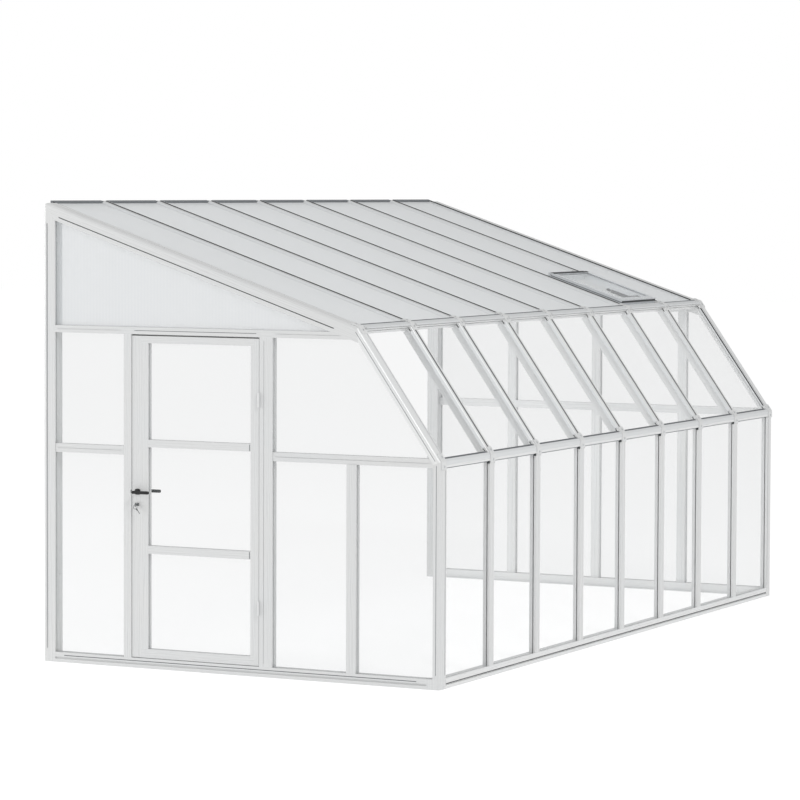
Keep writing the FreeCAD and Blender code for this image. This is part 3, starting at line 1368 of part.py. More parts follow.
save("base_front", [base_front()])
save("base_door_end", [base_end(slots_for(DOOR_BAYS_LOW))])
save("base_far_end", [mirrored(base_end(slots_for(FAR_BAYS)))])
save("corner_feet", corner_feet())
save("house_posts", both_ends(house_post()))
save("corner_posts", both_ends(corner_post()))
save("steep_rafters", both_ends(steep_rafter()))
save("roof_rafters", both_ends(roof_rafter()))
save("wall_mullions", [wall_mullion(i) for i in BETWEEN])
save("eave_rail", [eave_rail()])
save("knee_rail", [knee_rail()])
save("wall_plate", [wall_plate()])
save("eave_bars", [eave_bar(i) for i in BETWEEN])
save("eave_bar_caps", [eave_cap(i) for i in BETWEEN])
save("roof_bars", [roof_bar(i) for i in BETWEEN])
save("roof_bar_caps", [roof_cap(i) for i in BETWEEN])
save("eave_gaskets", [eave_gasket(i) for i in BETWEEN])
save("roof_gaskets", [roof_gasket(i) for i in BETWEEN])
save("eave_connectors", [eave_connector(i) for i in ALL_BARS])
save("knee_connectors", [knee_connector(i) for i in ALL_BARS])
save("wall_seal", [wall_seal(bay) for bay in range(BAYS)])
save("wall_panes", [wall_pane(bay) for bay in range(BAYS)])
save("eave_panes", [eave_pane(bay) for bay in range(BAYS)])
save("roof_panels", roof_panels())

save("header_door_end", [header(DOOR_BAYS_HIGH)])
save("header_far_end", [mirrored(header(FAR_BAYS))])
save("latch_jamb", [latch_jamb()])
save("hinge_jamb", [hinge_jamb()])
save("mullion_door_end", [DOOR_MULLION])
save("midrails_door_end", [midrail(*bay) for bay in DOOR_BAYS_HIGH])
save("mullions_far_end", [mirrored(bar) for bar in FAR_UPRIGHTS])
save("midrails_far_end", [mirrored(midrail(*bay)) for bay in FAR_BAYS])
save("gable_panels", both_ends(gable_panel()))
save("panes_door_end", panes_for(DOOR_BAYS_LOW, DOOR_BAYS_HIGH))
save("panes_far_end", [mirrored(pane) for pane in panes_for(FAR_BAYS, FAR_BAYS)])
save("door_stops", door_stops())
save("strike_plate", [strike_plate()])
save("jamb_hinge_leaves", [jamb_hinge_leaf(z) for z in HINGE_Z])

save("door_lock_stile", [lock_stile()])
save("door_hinge_stile", [hinge_stile()])
save("door_rails", door_rails())
save("door_glazing_bars", door_glazing_bars())
save("door_panes", door_panes())
save("door_hinge_leaves", [door_hinge_leaf(z) for z in HINGE_Z])
save("lock_case", [lock_case()])
save("lock_cylinder", [lock_cylinder()])
save("handle_roses", handle_roses())
save("lever_outer", [lever()])
save("lever_inner", [lever_inner()])
save("lever_spindle", [lever_spindle()])
save("latch_bolt", [latch_bolt()])
save("dead_bolt", [dead_bolt()])
save("key_plug", [key_plug()])
save("keys", [key_in_lock(), key_ring(), spare_key()])

save("vent_kerb", vent_kerb())
save("vent_frame", vent_frame())
save("vent_panel", [vent_panel()])
save("stay_bracket", [stay_bracket()])
save("stay_arm", [stay_arm()])
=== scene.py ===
# %% [markdown]
# A lean-to sunroom, dressed for its portrait.
# The construction model arrives as a fixed frame of named nodes, each made of one or more solids, in
# metres, with X along the house wall, +Y towards the house and +Z up. This script gives each node the
# finish of the real material, adds the small parts that are too fine for the construction model, and
# sets up floor, light and camera. The solids could be copied and reworked here, but they stay as they
# are: whatever is added is a new piece beside a solid or in its place, so that the picture can't drift
# away from the construction.

# %% Load the frame
import math

import bmesh
import bpy
from mathutils import Matrix, Vector


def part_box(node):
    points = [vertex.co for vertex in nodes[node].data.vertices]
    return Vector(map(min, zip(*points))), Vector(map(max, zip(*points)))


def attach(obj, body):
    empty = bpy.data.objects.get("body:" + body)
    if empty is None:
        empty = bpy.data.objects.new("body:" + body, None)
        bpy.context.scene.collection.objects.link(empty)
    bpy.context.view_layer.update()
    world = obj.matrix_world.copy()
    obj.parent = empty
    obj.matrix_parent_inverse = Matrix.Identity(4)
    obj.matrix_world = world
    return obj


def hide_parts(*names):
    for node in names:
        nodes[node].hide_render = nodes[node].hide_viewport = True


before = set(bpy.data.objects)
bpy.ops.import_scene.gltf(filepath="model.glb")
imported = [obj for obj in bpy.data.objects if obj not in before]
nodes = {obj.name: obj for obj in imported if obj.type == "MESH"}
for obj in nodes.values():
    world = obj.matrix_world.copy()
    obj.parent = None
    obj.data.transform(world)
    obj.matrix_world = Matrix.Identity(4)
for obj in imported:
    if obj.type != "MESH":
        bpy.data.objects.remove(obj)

scene = bpy.context.scene
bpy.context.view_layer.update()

# %% [markdown]
# The camera stands where the photograph was taken from. It could be placed by eye, but an error of a
# degree would pull every long line away from the picture, so its place and lens were solved from
# corners of the sunroom that show there. Render and photograph can then be laid over each other.
# A long lens from far away keeps the uprights almost parallel.

# %% Camera
LENS_PIXELS = 3492.9
IMAGE_PIXELS = 800
SENSOR_MM = 36.0
CAMERA_AT = Vector((-19.427, -9.521, 2.719))
CAMERA_YAW, CAMERA_PITCH, CAMERA_ROLL = (math.radians(a) for a in (26.703, -2.82, 0.213))
CAMERA_SHIFT = -0.05
CLIP_END = 200.0
# A look through the whole sunroom crosses many panes and skins.
PANE_LAYERS = 24

lens = bpy.data.cameras.new("portrait_lens")
lens.sensor_width = SENSOR_MM
lens.lens = LENS_PIXELS * SENSOR_MM / IMAGE_PIXELS
lens.shift_y = CAMERA_SHIFT
lens.clip_end = CLIP_END
camera = bpy.data.objects.new("portrait_camera", lens)
scene.collection.objects.link(camera)
look = Vector((math.cos(CAMERA_YAW) * math.cos(CAMERA_PITCH),
               math.sin(CAMERA_YAW) * math.cos(CAMERA_PITCH),
               math.sin(CAMERA_PITCH)))
camera.matrix_world = (Matrix.Translation(CAMERA_AT) @ look.to_track_quat("-Z", "Y").to_matrix().to_4x4()
                       @ Matrix.Rotation(CAMERA_ROLL, 4, "Z"))
scene.camera = camera
scene.view_settings.view_transform = "Standard"
scene.cycles.transparent_max_bounces = PANE_LAYERS
print(f"lens {lens.lens:.1f} mm at {tuple(CAMERA_AT)}")

# %% [markdown]
# Every finish is a small tree of shader nodes. It could be wired by hand in the shader editor, but a
# script can be read and run again. One helper adds a node, sets its values and links its inputs, and
# another turns the colour that a designer would quote, such as #E4E6E6, into the linear numbers that
# light is added up in. Pattern sizes are given in real millimetres.

# %% Finish helpers
MM = 0.001


def linear(hex_colour):
    """The sRGB colour of a hex string as linear red, green, blue and an alpha of 1."""
    parts = [int(hex_colour[i:i + 2], 16) / 255 for i in (1, 3, 5)]
    return (*[c / 12.92 if c <= 0.04045 else ((c + 0.055) / 1.055) ** 2.4 for c in parts], 1.0)


def add_node(tree, kind, inputs=None, **settings):
    """One shader node: settings are its properties, inputs are numbers or the sockets to link."""
    made = tree.nodes.new(kind)
    for name, value in settings.items():
        setattr(made, name, value)
    for socket, value in (inputs or {}).items():
        if isinstance(value, bpy.types.NodeSocket):
            tree.links.new(value, made.inputs[socket])
        else:
            made.inputs[socket].default_value = value
    return made


def new_finish(name, constants):
    """A material with its output, its principled shader with some constants, and object coordinates."""
    finish = bpy.data.materials.new(name)
    finish.use_nodes = True
    tree = finish.node_tree
    tree.nodes.clear()
    surface = add_node(tree, "ShaderNodeBsdfPrincipled", constants)
    add_node(tree, "ShaderNodeOutputMaterial", {"Surface": surface.outputs[0]})
    place = add_node(tree, "ShaderNodeTexCoord").outputs["Object"]
    return finish, tree, surface, place


def noise_scale(mm):
    """Scale of a noise texture whose blotches are about mm wide."""
    return 1 / (mm * MM)


def band_scale(mm):
    """Scale of a wave texture whose bands are mm apart."""
    return math.pi / 10 / (mm * MM)


print("linear white of #E4E6E6:", [round(c, 3) for c in linear("#E4E6E6")])

# %% [markdown]
# The sunroom's outer line is a chain of straight stretches, seen from its end: the low wall, the steep
# glazing and the roof. Every place could be given in x, y and z, but on a slope that hides what is
# meant. With a stretch it is easy to say: x along the house, s up the stretch and n out of it. The
# corners of the line are the main sizes that the pieces below need, apart from the boxes of the solids.

# %% The outer line
EAVE_Z = 1.240
KNEE_Z = 1.963
KNEE_BACK = 0.511
ROOF_Z = 2.640
FRONT_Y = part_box("base_front")[0][1]
HOUSE_Y = -FRONT_Y
DOOR_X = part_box("base_door_end")[0][0]
END_WIDE = 0.080
BAYS = 8


class Stretch:
    """A straight stretch of the outer line: s runs up it and n stands out from it, in metres."""

    def __init__(self, start, end):
        self.start = Vector((0.0, *start))
        run = Vector((0.0, *end)) - self.start
        self.length = run.length
        self.along = run.normalized()
        self.out = Vector((0.0, -self.along.z, self.along.y))

    def at(self, x, n, s):
        return self.start + self.along * s + self.out * n + Vector((x, 0.0, 0.0))

    def spans(self, points):
        """The ranges of x, n and s that some points cover."""
        offsets = [point - self.start for point in points]
        rows = [(o.x, o.dot(self.out), o.dot(self.along)) for o in offsets]
        return [(min(row), max(row)) for row in zip(*rows)]


KNEE = (FRONT_Y + KNEE_BACK, KNEE_Z)
FRONT = Stretch((FRONT_Y, 0.0), (FRONT_Y, EAVE_Z))
STEEP = Stretch((FRONT_Y, EAVE_Z), KNEE)
ROOF = Stretch(KNEE, (HOUSE_Y, ROOF_Z))
PITCH = (-2 * DOOR_X - END_WIDE) / BAYS
BAR_X = [DOOR_X + END_WIDE / 2 + k * PITCH for k in range(BAYS + 1)]
print(f"steep glazing {STEEP.length:.3f} m, roof {ROOF.length:.3f} m, a bar every {PITCH:.3f} m")

# %% [markdown]
# The frame is taken to be white PVC, pushed through a steel die as such profiles are. It is satin, so a
# lamp shows as a soft streak along a profile, and the die leaves fine lines along each length that only
# show as a slight change of sheen. A flat white would do from far off, but close by it looks like paper.
# Here a stretched noise draws the lines along any profile, and a broad one makes long profiles slightly
# uneven. The lines are 6 mm wide, coarser than real ones, because finer ones would be lost. The frame's
# white, the brighter one and the vent's cooler one are one material, matched to the picture. The brighter
# one is painted light: a lighter copy of the same white for the long rails and steep bars, which face the
# lamps, and for the far end, which stands in the shade inside the sunroom.

# %% White extruded PVC
DIE_LINE_MM = 6
DIE_LINE_STRETCH = 50.0
UNEVEN_MM = 350
PVC = {"IOR": 1.53, "Specular IOR Level": 0.8}


def extruded_white(name, warm, cool, along):
    """White PVC profile whose die lines run in one direction."""
    finish, tree, surface, place = new_finish(name, PVC)
    turn = Vector((0, 0, 1)).rotation_difference(Vector(along)).to_euler()
    run = add_node(tree, "ShaderNodeMapping",
                   {"Vector": place, "Rotation": turn, "Scale": (1.0, 1.0, DIE_LINE_STRETCH)},
                   vector_type="TEXTURE")
    lines = add_node(tree, "ShaderNodeTexNoise",
                     {"Vector": run.outputs[0], "Scale": noise_scale(DIE_LINE_MM), "Detail": 3.0})
    cloud = add_node(tree, "ShaderNodeTexNoise",
                     {"Vector": place, "Scale": noise_scale(UNEVEN_MM), "Detail": 2.0})
    tint = add_node(tree, "ShaderNodeMix", {0: cloud.outputs[0], 6: linear(warm), 7: linear(cool)},
                    data_type="RGBA")
    tree.links.new(tint.outputs[2], surface.inputs["Base Color"])
    sheen = add_node(tree, "ShaderNodeMapRange", {"Value": lines.outputs[0], "To Min": 0.22, "To Max": 0.34})
    tree.links.new(sheen.outputs[0], surface.inputs["Roughness"])
    bump = add_node(tree, "ShaderNodeBump",
                    {"Height": lines.outputs[0], "Strength": 0.06, "Distance": 0.2 * MM})
    tree.links.new(bump.outputs[0], surface.inputs["Normal"])
    return finish


FRAME_TINTS = ("#D2D2D1", "#CFD1D2")
# Painted light: a lighter copy of the frame's white, for faces towards the lamps and the shaded far end.
PAINTED_LIGHT_TINTS = ("#DEDEDD", "#DBDDDE")
VENT_TINTS = ("#CFD2D4", "#CBCFD2")
white_upright = extruded_white("white_pvc_upright", *FRAME_TINTS, (0, 0, 1))
white_long_rail_painted_light = extruded_white("white_pvc_long_rail_painted_light", *PAINTED_LIGHT_TINTS, (1, 0, 0))
white_end_rail = extruded_white("white_pvc_end_rail", *FRAME_TINTS, (0, 1, 0))
white_far_upright_painted_light = extruded_white("white_pvc_far_upright_painted_light", *PAINTED_LIGHT_TINTS, (0, 0, 1))
white_far_rail_painted_light = extruded_white("white_pvc_far_rail_painted_light", *PAINTED_LIGHT_TINTS, (0, 1, 0))
white_steep_painted_light = extruded_white("white_pvc_steep_bar_painted_light", *PAINTED_LIGHT_TINTS, STEEP.along)
white_roof = extruded_white("white_pvc_roof_bar", *FRAME_TINTS, ROOF.along)
vent_white = extruded_white("vent_white_pvc", *VENT_TINTS, ROOF.along)
print("white profiles:", white_upright.name, white_long_rail_painted_light.name, white_steep_painted_light.name, vent_white.name)

# %% [markdown]
# Clips, connectors and hinges are white too, but made another way. The clips are injection-moulded
# nylon, whose mould leaves a fine matt grain that spreads every highlight. The hinges are steel with a
# powder coat, a slightly glossier skin with a very small orange peel. One white for all would hide that
# they are separate parts, so each gets its own grain. Both grains are drawn coarser than the real ones,
# which are a few tenths of a millimetre, because otherwise they wouldn't show.

# %% Moulded nylon and powder-coated steel
def grained_white(name, colour, roughness, grain_mm, depth_mm):
    """A matt white skin with a fine grain."""
    finish, tree, surface, place = new_finish(name, {"Base Color": linear(colour), "IOR": 1.53})
    grain = add_node(tree, "ShaderNodeTexNoise",
                     {"Vector": place, "Scale": noise_scale(grain_mm), "Detail": 4.0})
    bump = add_node(tree, "ShaderNodeBump",
                    {"Height": grain.outputs[0], "Strength": 0.25, "Distance": depth_mm * MM})
    tree.links.new(bump.outputs[0], surface.inputs["Normal"])
    sheen = add_node(tree, "ShaderNodeMapRange",
                     {"Value": grain.outputs[0], "To Min": roughness - 0.06, "To Max": roughness + 0.06})
    tree.links.new(sheen.outputs[0], surface.inputs["Roughness"])
    return finish


clip_white = grained_white("moulded_white_nylon", "#D6D7D7", 0.5, 1.5, 0.15)
hinge_white = grained_white("powder_coated_steel", "#D8D9D9", 0.42, 2.5, 0.2)
print("moulded and coated:", clip_white.name, hinge_white.name)

# %% [markdown]
# The wall panes are clear acrylic sheet, 4 mm thick. From the camera a pane shows mostly as a very light
# veil over what is behind it, with a soft gloss. Refraction could be drawn with a transmissive shader,
# but so thin a sheet hardly bends the view, and many panes in a row would turn the picture noisy. So the
# veil is the shader's alpha, which lets the light through as well. A faint, broad waviness of the sheet
# breaks up its gloss. All panes are the same sheet: those of the door end get a slightly stronger veil
# only because they look that way in the picture. That stronger veil is painted shade, for the shaded
# grey that is seen through them.

# %% Clear acrylic
WAVE_MM = 260


def clear_acrylic(name, veil, alpha):
    """A clear pane: veil is its tint and alpha is how much of it covers the view."""
    finish, tree, surface, place = new_finish(name, {
        "Base Color": linear(veil), "Alpha": alpha, "IOR": 1.49, "Specular IOR Level": 0.3})
    wave = add_node(tree, "ShaderNodeTexNoise",
                    {"Vector": place, "Scale": noise_scale(WAVE_MM), "Detail": 1.0})
    bump = add_node(tree, "ShaderNodeBump",
                    {"Height": wave.outputs[0], "Strength": 0.03, "Distance": 1 * MM})
    tree.links.new(bump.outputs[0], surface.inputs["Normal"])
    wiped = add_node(tree, "ShaderNodeMapRange", {"Value": wave.outputs[0], "To Min": 0.05, "To Max": 0.14})
    tree.links.new(wiped.outputs[0], surface.inputs["Roughness"])
    return finish


pane_clear = clear_acrylic("clear_acrylic", "#A8ACAE", 0.07)
# Painted shade: the stronger veil darkens the door-end panes to the shaded grey seen through them.
pane_end_painted_shade = clear_acrylic("clear_acrylic_door_end_painted_shade", "#A8ACAE", 0.105)
print("panes:", pane_clear.name, pane_end_painted_shade.name)

# %% [markdown]
# Roof and gable tops are twin-wall polycarbonate: two thin skins joined by ribs, which turns the sheet
# milky. Seen straight on it lets much of the daylight through, but at a low angle the eye crosses many
# ribs and the sheet closes up. Clear skins and ribs could be left to the renderer to add up, which is
# slow and noisy, so the haze is an alpha that follows the angle. The ribs are about 10 mm apart on the
# real sheet. They are drawn as bands of 21 mm, coarser than life so that they show. The skins are satin.

# %% Twin-wall polycarbonate
RIB_MM = 21
MILK_MM = 500
POLYCARBONATE = {"Roughness": 0.42, "Specular IOR Level": 0.3, "IOR": 1.58}


def twin_wall(name, light, dark, haze, rib_axis):
    """Twin-wall sheet; haze is its alpha seen straight on and seen edge on."""
    finish, tree, surface, place = new_finish(name, POLYCARBONATE)
    ribs = add_node(tree, "ShaderNodeTexWave", {"Vector": place, "Scale": band_scale(RIB_MM)},
                    bands_direction=rib_axis)
    cloud = add_node(tree, "ShaderNodeTexNoise",
                     {"Vector": place, "Scale": noise_scale(MILK_MM), "Detail": 2.0})
    streak = add_node(tree, "ShaderNodeMath", {0: ribs.outputs["Fac"], 1: cloud.outputs[0]},
                      operation="MULTIPLY")
    tint = add_node(tree, "ShaderNodeMix", {0: streak.outputs[0], 6: linear(light), 7: linear(dark)},
                    data_type="RGBA")
    tree.links.new(tint.outputs[2], surface.inputs["Base Color"])
    bump = add_node(tree, "ShaderNodeBump",
                    {"Height": ribs.outputs["Fac"], "Strength": 0.15, "Distance": 0.3 * MM})
    tree.links.new(bump.outputs[0], surface.inputs["Normal"])
    facing = add_node(tree, "ShaderNodeLayerWeight")
    milk = add_node(tree, "ShaderNodeMapRange",
                    {"Value": facing.outputs["Facing"], "To Min": haze[0], "To Max": haze[1]})
    tree.links.new(milk.outputs[0], surface.inputs["Alpha"])
    return finish


twin_wall_roof = twin_wall("twin_wall_roof_sheet", "#F0F2F3", "#ECEEEF", (0.36, 0.86), "X")
twin_wall_vent = twin_wall("twin_wall_vent_sheet", "#E4E6E7", "#E0E2E3", (0.1, 0.18), "X")
twin_wall_gable = twin_wall("twin_wall_gable_sheet", "#D4D7D9", "#CFD2D5", (0.36, 0.6), "Y")
twin_wall_ribs = twin_wall("twin_wall_sheet_ribs", "#D4D7D9", "#CFD2D5", (0.05, 0.09), "Y")
print("sheets:", twin_wall_roof.name, twin_wall_vent.name, twin_wall_gable.name)

# %% [markdown]
# The soft and the small moulded parts differ mostly in colour and in how matt they are. Extruded rubber
# and soft seal are dull, so their lines stay even in any light. Moulded nylon has a low sheen that
# rounds the levers and the dark grey stay. Flat colours would turn these parts into cut-outs, so a fine
# grain varies the sheen. It is drawn 2 to 4 mm wide, coarser than the real one, so that it shows.

# %% Rubber, soft seal and nylon
def moulded(name, colour, roughness, grain_mm):
    """A dull moulded or extruded skin."""
    finish, tree, surface, place = new_finish(name, {"Base Color": linear(colour)})
    grain = add_node(tree, "ShaderNodeTexNoise",
                     {"Vector": place, "Scale": noise_scale(grain_mm), "Detail": 3.0})
    bump = add_node(tree, "ShaderNodeBump",
                    {"Height": grain.outputs[0], "Strength": 0.2, "Distance": 0.1 * MM})
    tree.links.new(bump.outputs[0], surface.inputs["Normal"])
    sheen = add_node(tree, "ShaderNodeMapRange",
                     {"Value": grain.outputs[0], "To Min": roughness - 0.08, "To Max": roughness + 0.08})
    tree.links.new(sheen.outputs[0], surface.inputs["Roughness"])
    return finish


seal_black = moulded("epdm_rubber", "#3A3C3E", 0.75, 3)
seal_grey = moulded("grey_tpe_seal", "#63666A", 0.7, 3)
seal_mid = moulded("mid_grey_tpe_seal", "#7C7F82", 0.7, 3)
drip_pale = moulded("pale_grey_pvc", "#D4D6D7", 0.55, 4)
lip_pale = moulded("pale_tpe_lip", "#DADCDD", 0.6, 4)
lever_black = moulded("black_nylon", "#0B0B0C", 0.55, 2)
stay_grey = moulded("grey_nylon", "#2A2C2E", 0.5, 2)
print("dull parts:", seal_black.name, seal_grey.name, drip_pale.name, lever_black.name, stay_grey.name)

# %% [markdown]
# The lock and the screws are zinc-plated steel, and cylinder and keys are nickel-plated brass. Plating
# follows the brushed metal under it, so a highlight is drawn out across the brush lines. An anisotropic
# shader could do that, but on parts this small a noise that is stretched along the brush is enough. Its
# lines are 2 mm wide, far coarser than real ones, so that they show. Metals keep the default IOR.

# %% Plated metals
BRUSH_MM = 2


def plated_metal(name, colour, roughness, brush):
    """Brushed and plated metal; brush is small along the axis in which the brush lines run."""
    finish, tree, surface, place = new_finish(name, {"Base Color": linear(colour), "Metallic": 1.0})
    along = add_node(tree, "ShaderNodeMapping", {"Vector": place, "Scale": brush})
    lines = add_node(tree, "ShaderNodeTexNoise",
                     {"Vector": along.outputs[0], "Scale": noise_scale(BRUSH_MM), "Detail": 3.0})
    sheen = add_node(tree, "ShaderNodeMapRange",
                     {"Value": lines.outputs[0], "To Min": roughness - 0.1, "To Max": roughness + 0.1})
    tree.links.new(sheen.outputs[0], surface.inputs["Roughness"])
    return finish


lock_steel = plated_metal("zinc_plated_steel", "#C9CBCC", 0.38, (1.0, 0.1, 1.0))
key_nickel = plated_metal("nickel_plated_brass", "#9A9C9D", 0.3, (0.2, 1.0, 1.0))
print("metals:", lock_steel.name, key_nickel.name)

# %% [markdown]
# Each node of the frame already names the finish that it should take. A list of nodes for each finish
# would work too, but it would have to be kept in step, so the finishes are handed out by that name.
# White profiles that don't stand upright then get the white whose die lines run their way, and a few
# nodes get the finish that matches their tone in the picture: the lighter whites are painted light, and
# the stronger veil of the door-end panes is painted shade. The solids themselves don't change.

# %% Finishes onto the frame
FINISHES = {
    "frame_white": white_upright, "vent_white": vent_white, "clip_white": clip_white,
    "hinge_white": hinge_white, "pane_clear": pane_clear, "twin_wall_roof": twin_wall_roof,
    "twin_wall_gable": twin_wall_gable, "seal_black": seal_black, "lever_black": lever_black,
    "stay_grey": stay_grey, "lock_steel": lock_steel, "key_nickel": key_nickel,
}
for node in nodes.values():
    slot = node.material_slots[0]
    slot.material = FINISHES[slot.material.name]
RUNS = {
    white_long_rail_painted_light: ["base_front", "eave_rail", "knee_rail", "wall_plate"],
    white_end_rail: ["base_door_end", "header_door_end", "midrails_door_end", "door_rails"],
    white_far_upright_painted_light: ["mullions_far_end"],
    white_far_rail_painted_light: ["base_far_end", "header_far_end", "midrails_far_end"],
    white_steep_painted_light: ["steep_rafters", "eave_bars", "eave_bar_caps"],
    white_roof: ["roof_rafters", "roof_bars", "roof_bar_caps"],
    seal_mid: ["wall_seal"],
    pane_end_painted_shade: ["panes_door_end", "door_panes"],
}
for finish, names in RUNS.items():
    for name in names:
        nodes[name].material_slots[0].material = finish
print(f"finished {len(nodes)} nodes, {sum(map(len, RUNS.values()))} of them by their run or tone")

# %% [markdown]
# Most added parts are bars of a constant section, as they come from an extruder. Blender could sweep a
# curve with a bevel profile, but a list of rings says exactly where every corner lies. So one small
# class skins closed rings of points, ring to ring, and closes both ends. Many bars go onto one heap,
# because parts of a kind share one material.

# %% Heap of bars
class Heap:
    """Lofted bars that become one mesh."""

    def __init__(self):
        self.points = []
        self.faces = []

    def loft(self, rings):
        """Skin between rings of equally many points, closed at both ends."""
        count = len(rings[0])
        first = len(self.points)
        for ring in rings:
            self.points += [tuple(point) for point in ring]
        for r in range(len(rings) - 1):
            low = first + r * count
            for i in range(count):
                j = (i + 1) % count
                self.faces.append((low + i, low + j, low + count + j, low + count + i))
        self.faces.append([first + i for i in reversed(range(count))])
        self.faces.append([len(self.points) - count + i for i in range(count)])

    def bar(self, stretch, section, s0, s1):
        """A section of (x, n) points swept up a stretch."""
        self.loft([[stretch.at(x, n, s) for x, n in section] for s in (s0, s1)])

    def across(self, stretch, section, x0, x1):
        """A section of (n, s) points swept along the length of the sunroom."""
        self.loft([[stretch.at(x, n, s) for n, s in section] for x in (x0, x1)])

    def block(self, low, high, chamfer):
        """A block between two corners whose edges along its longest side are chamfered."""
        size = [b - a for a, b in zip(low, high)]
        long = size.index(max(size))
        u, v = [axis for axis in range(3) if axis != long]
        c = min(chamfer, size[u] / 3, size[v] / 3)
        loop = [(low[u] + c, low[v]), (high[u] - c, low[v]), (high[u], low[v] + c), (high[u], high[v] - c),
                (high[u] - c, high[v]), (low[u] + c, high[v]), (low[u], high[v] - c), (low[u], low[v] + c)]
        rings = []
        for end in (low[long], high[long]):
            ring = []
            for a, b in loop:
                point = [0.0, 0.0, 0.0]
                point[u], point[v], point[long] = a, b, end
                ring.append(point)
            rings.append(ring)
        self.loft(rings)


sample = Heap()
sample.block((0, 0, 0), (1, 1, 2), 0.1)
print(f"a chamfered block has {len(sample.points)} points and {len(sample.faces)} faces")

# %% [markdown]
# A heap then becomes an object: its faces are turned outward, its round parts are shaded smooth and its
# edges of more than 35 degrees stay sharp. A modifier could do that shading, but written into the mesh
# it needs nothing else when the model is exported. Each piece rides on a body, so that it follows the
# door, the vent or the stay when that moves.

# %% From heap to piece
SHARP = math.radians(35)


def add_piece(heap, name, finish, body="frame", replaced=()):
    """One object of all the bars on a heap; replaced lists the nodes that it stands in for."""
    mesh = bpy.data.meshes.new(name)
    mesh.from_pydata(heap.points, [], heap.faces)
    work = bmesh.new()
    work.from_mesh(mesh)
    bmesh.ops.recalc_face_normals(work, faces=work.faces[:])
    work.to_mesh(mesh)
    work.free()
    mesh.shade_smooth()
    mesh.set_sharp_from_angle(angle=SHARP)
    mesh.materials.append(finish)
    made = bpy.data.objects.new(name, mesh)
    scene.collection.objects.link(made)
    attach(made, body)
    if replaced:
        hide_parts(*replaced)
    print(f"{name}: {len(mesh.polygons)} faces on {body}")


print(f"edges of more than {math.degrees(SHARP):.0f} degrees stay sharp")

# %% [markdown]
# Many pieces are fitted to solids of the construction model, and one node often holds several of them,
# such as all the panes of a wall. Their sizes could be typed in again, but a later change to the model
# would then leave the piece behind, so they are measured. A node's mesh is taken apart by walking along
# its edges from point to point until none is left over.

# %% Solids of a node
WELD = 0.01 * MM


def solids_of(node):
    """The points of each separate solid in a node."""
    work = bmesh.new()
    work.from_mesh(nodes[node].data)
    bmesh.ops.remove_doubles(work, verts=work.verts[:], dist=WELD)
    left = dict.fromkeys(work.verts)
    groups = []
    while left:
        queue = [next(iter(left))]
        del left[queue[0]]
        group = []
        while queue:
            corner = queue.pop()
            group.append(corner.co.copy())
            for edge in corner.link_edges:
                other = edge.other_vert(corner)
                if other in left:
                    del left[other]
                    queue.append(other)
        groups.append(group)
    work.free()
    return groups


def points_of(node):
    """The points of all solids in a node."""
    return [point for solid in solids_of(node) for point in solid]


def mirrored(section):
    """A section of (x, n) points at the other end of the sunroom."""
    return [(-x, n) for x, n in section]


print(f"{len(solids_of('wall_panes'))} wall panes in one node")

# %% [markdown]
# A twin-wall sheet is extruded like a ladder: two skins with a rib every 10 mm or so. Cooling pulls the
# skins in a little between the ribs, and the eye sees that as a faint washboard. A bump map could fake
# it, but it would vanish along the edges and from the exported shape. The construction model has only
# a few wide flutes, so the visible sheets are built again here with a rib every 21 mm. That is about
# twice the real spacing, because finer ribs would be lost in the picture.

# %% Twin-wall sheets
RIB_STEP = 0.021
RIB_HALF = 0.5 * MM
SINK = 0.25 * MM
SKIN = 0.9 * MM


def rib_places(low, high):
    """Evenly spaced ribs between the two edges of a sheet."""
    count = round((high - low) / RIB_STEP)
    return [low + (high - low) * i / count for i in range(1, count)]


def washboard(low, high, ribs):
    """Places across a sheet and how far the skin is sunk there: none at a rib, most between two."""
    edges = [low, *ribs, high]
    row = [(low, 0.0)]
    for a, b in zip(edges, edges[1:]):
        row += [((a + b) / 2, SINK), (b, 0.0)]
    return row


def roof_sheet(heap, rib_heap, points):
    """A sheet that lies on the roof, its skins on one heap and its ribs on another."""
    (x0, x1), (n0, n1), (s0, s1) = ROOF.spans(points)
    ribs = rib_places(x0, x1)
    row = washboard(x0, x1, ribs)
    section = [(x, n1 - sink) for x, sink in row] + [(x, n0 + sink) for x, sink in reversed(row)]
    heap.bar(ROOF, section, s0, s1)
    low, high = n0 + SKIN, n1 - SKIN
    for x in ribs:
        a, b = x - RIB_HALF, x + RIB_HALF
        rib_heap.bar(ROOF, [(a, low), (b, low), (b, high), (a, high)], s0, s1)


roof_heap = Heap()
for solid in solids_of("roof_panels"):
    roof_sheet(roof_heap, roof_heap, solid)
add_piece(roof_heap, "roof_sheets", twin_wall_roof, replaced=["roof_panels"])

vent_heap, vent_rib_heap = Heap(), Heap()
for solid in solids_of("vent_panel"):
    roof_sheet(vent_heap, vent_rib_heap, solid)
add_piece(vent_heap, "vent_sheet", twin_wall_vent, "vent", ["vent_panel"])
add_piece(vent_rib_heap, "vent_ribs", twin_wall_ribs, "vent")

# %% [markdown]
# The sheets of the gable tops are triangles whose ribs stand upright, so that water can run out of them.
# A whole sheet could be built and cut with a boolean, but cuts through so many thin walls easily fail.
# The skin is lofted instead, from the low corner to the house side: one ring for each rib and one for
# each hollow between two ribs. The tip is left blunt, because a ring shrunk to a point leaves faces
# without an area.

# %% Gable sheets
TIP = 0.012


